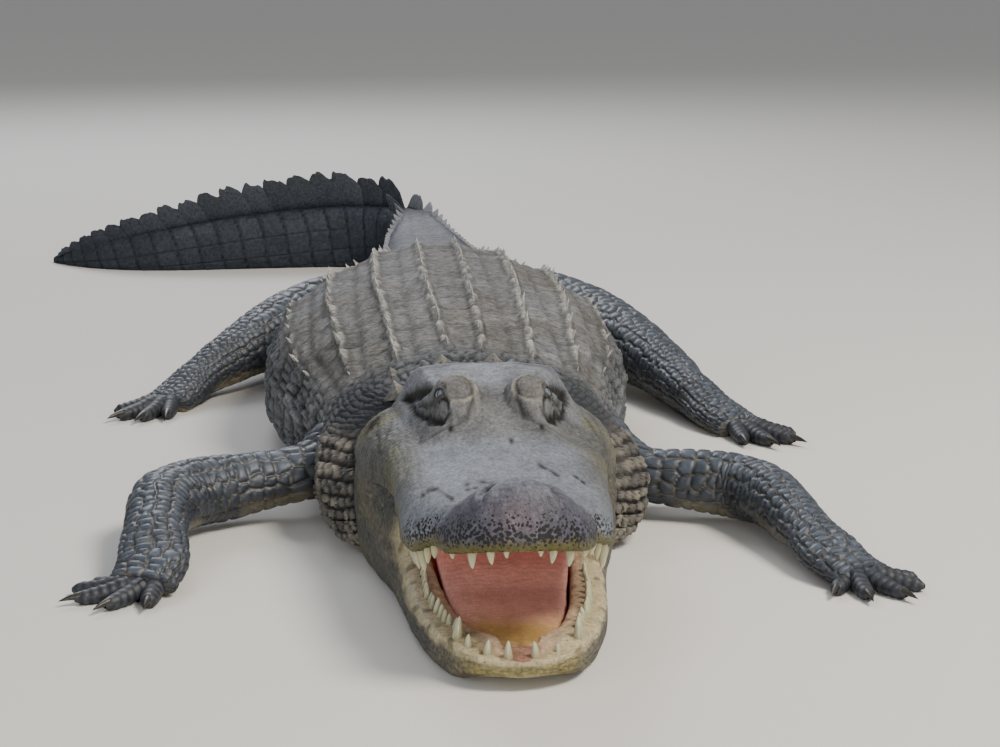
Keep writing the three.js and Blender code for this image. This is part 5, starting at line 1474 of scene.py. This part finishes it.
def eyelids(centre, axes, side):
    """A wrinkled shell over the eyeball with an almond opening, whose edge is rolled in: its radius grows
    away from the edge and ripples with the folds."""
    around = np.linspace(0, 2 * math.pi, int(100 * FINE), endpoint=False)[None, :]
    t = np.linspace(0, 1, int(44 * FINE))[:, None]
    tilted = around + 0.5 * side
    open_angle = 0.27 + 0.2 * np.abs(np.cos(tilted)) ** 2 - 0.05 * np.sin(around)
    polar = open_angle + (1.35 - open_angle) * t
    folded = ripple(around * 3, t * 9, 113) * smoothstep(0.1, 0.3, t)
    radius = EYE_RADIUS + 0.1 + 1.5 * smoothstep(0, 0.12, t) + 0.5 * folded + 0.8 * smoothstep(0.3, 1, t)
    lids = on_sphere(centre, radius + 0 * polar, axes, polar, around + 0 * polar)
    # painted shade in the troughs of the lids' folds, lighter grey on their crests
    tint = blend(LID_FOLD_SHADE, LID_GREY, 0.5 + 0.5 * folded)
    # painted shade along the rolled rim of the opening, where the lid tucks in over the eyeball
    tint = blend(tint, LID_EDGE_SHADE, 1 - smoothstep(0.02, 0.14, t + 0 * around))
    return lids, np.concatenate([tint, np.full(tint.shape[:2] + (1,), 0.55)], -1)


for side, word in ((-1, "right"), (1, "left")):
    axes = eye_axes(side)
    centre = eye_front() * np.array([side, 1, 1]) - (EYE_RADIUS - 0.2) * axes[0]
    ball, ball_tint = eyeball(centre, axes)
    grid_piece(f"eye_{word}_ball", ball, ball_tint, EYE, (f"eye_{word}",), caps=(True, True))
    lids, lid_tint = eyelids(centre, axes, side)
    grid_piece(f"eyelids_{word}", lids, lid_tint, HEAD_HIDE)

# Floor, lights and camera


def plain_material(name, code, roughness):
    """Even matt paint: one colour and no pattern."""
    material = bpy.data.materials.new(name)
    material.use_nodes = True
    shader = material.node_tree.nodes["Principled BSDF"]
    shader.inputs["Base Color"].default_value = (*linear(code), 1)
    shader.inputs["Roughness"].default_value = roughness
    return material


floor_mesh = bpy.data.meshes.new("floor")
floor_mesh.from_pydata([(-14, -10, 0), (14, -10, 0), (14, 22, 0), (-14, 22, 0)], [], [(0, 1, 2, 3)])
floor_mesh.materials.append(plain_material("pale floor", "d9d7d2", 0.9))
floor = bpy.data.objects.new("floor", floor_mesh)
bpy.context.scene.collection.objects.link(floor)


def area_light(name, place, target, size, power, code):
    """A round soft box, size metres wide and power watts strong, turned to face its target."""
    light = bpy.data.lights.new(name, "AREA")
    light.shape = "DISK"
    light.size = size
    light.energy = power
    light.color = linear(code)
    lamp = bpy.data.objects.new(name, light)
    lamp.location = place
    way = np.array(target) - np.array(place)
    flat_length = math.hypot(way[0], way[1])
    lamp.rotation_euler = (math.atan2(flat_length, -way[2]), 0, math.atan2(-way[0], way[1]))
    bpy.context.scene.collection.objects.link(lamp)


SHOULDERS, SNOUT = (0.1, -0.6, 0), (0.13, -1.1, 0.08)
area_light("key", (2.3, -1.9, 3.5), SHOULDERS, 1.6, 190, "fff6ea")
area_light("fill", (-3.2, -2.8, 2.2), SHOULDERS, 3.0, 32, "eef3ff")
area_light("front", (0.5, -4.4, 0.7), SNOUT, 1.0, 42, "fffaf2")
area_light("back", (-0.8, 4.0, 3.4), (0, 0.2, 0), 2.4, 120, "f6f8ff")
world = bpy.data.worlds.new("studio")
world.use_nodes = True
background = world.node_tree.nodes["Background"]
background.inputs["Color"].default_value = (0.86, 0.88, 0.92, 1)
background.inputs["Strength"].default_value = 0.38
bpy.context.scene.world = world

# The photograph's camera: focal length and frame width in pixels, place from the snout tip in metres, and
# how far it looks down and to the animal's left
FOCAL, FRAME_WIDTH, SENSOR = 2095.5, 1000, 36
CAMERA_ASIDE, CAMERA_AHEAD, CAMERA_HEIGHT = -0.146, -1.768, 0.6591
LOOK_DOWN, LOOK_LEFT = math.radians(11.777), math.atan2(0.0752, 0.9972)
lens = bpy.data.cameras.new("camera")
lens.sensor_width = SENSOR
lens.lens = SENSOR * FOCAL / FRAME_WIDTH
lens.clip_end = 60
camera = bpy.data.objects.new("camera", lens)
camera.location = (SHIFT_X / 1000 + CAMERA_ASIDE, SHIFT_Y / 1000 + CAMERA_AHEAD, CAMERA_HEIGHT)
camera.rotation_euler = (math.radians(90) - LOOK_DOWN, 0, -LOOK_LEFT)
bpy.context.scene.collection.objects.link(camera)
bpy.context.scene.camera = camera
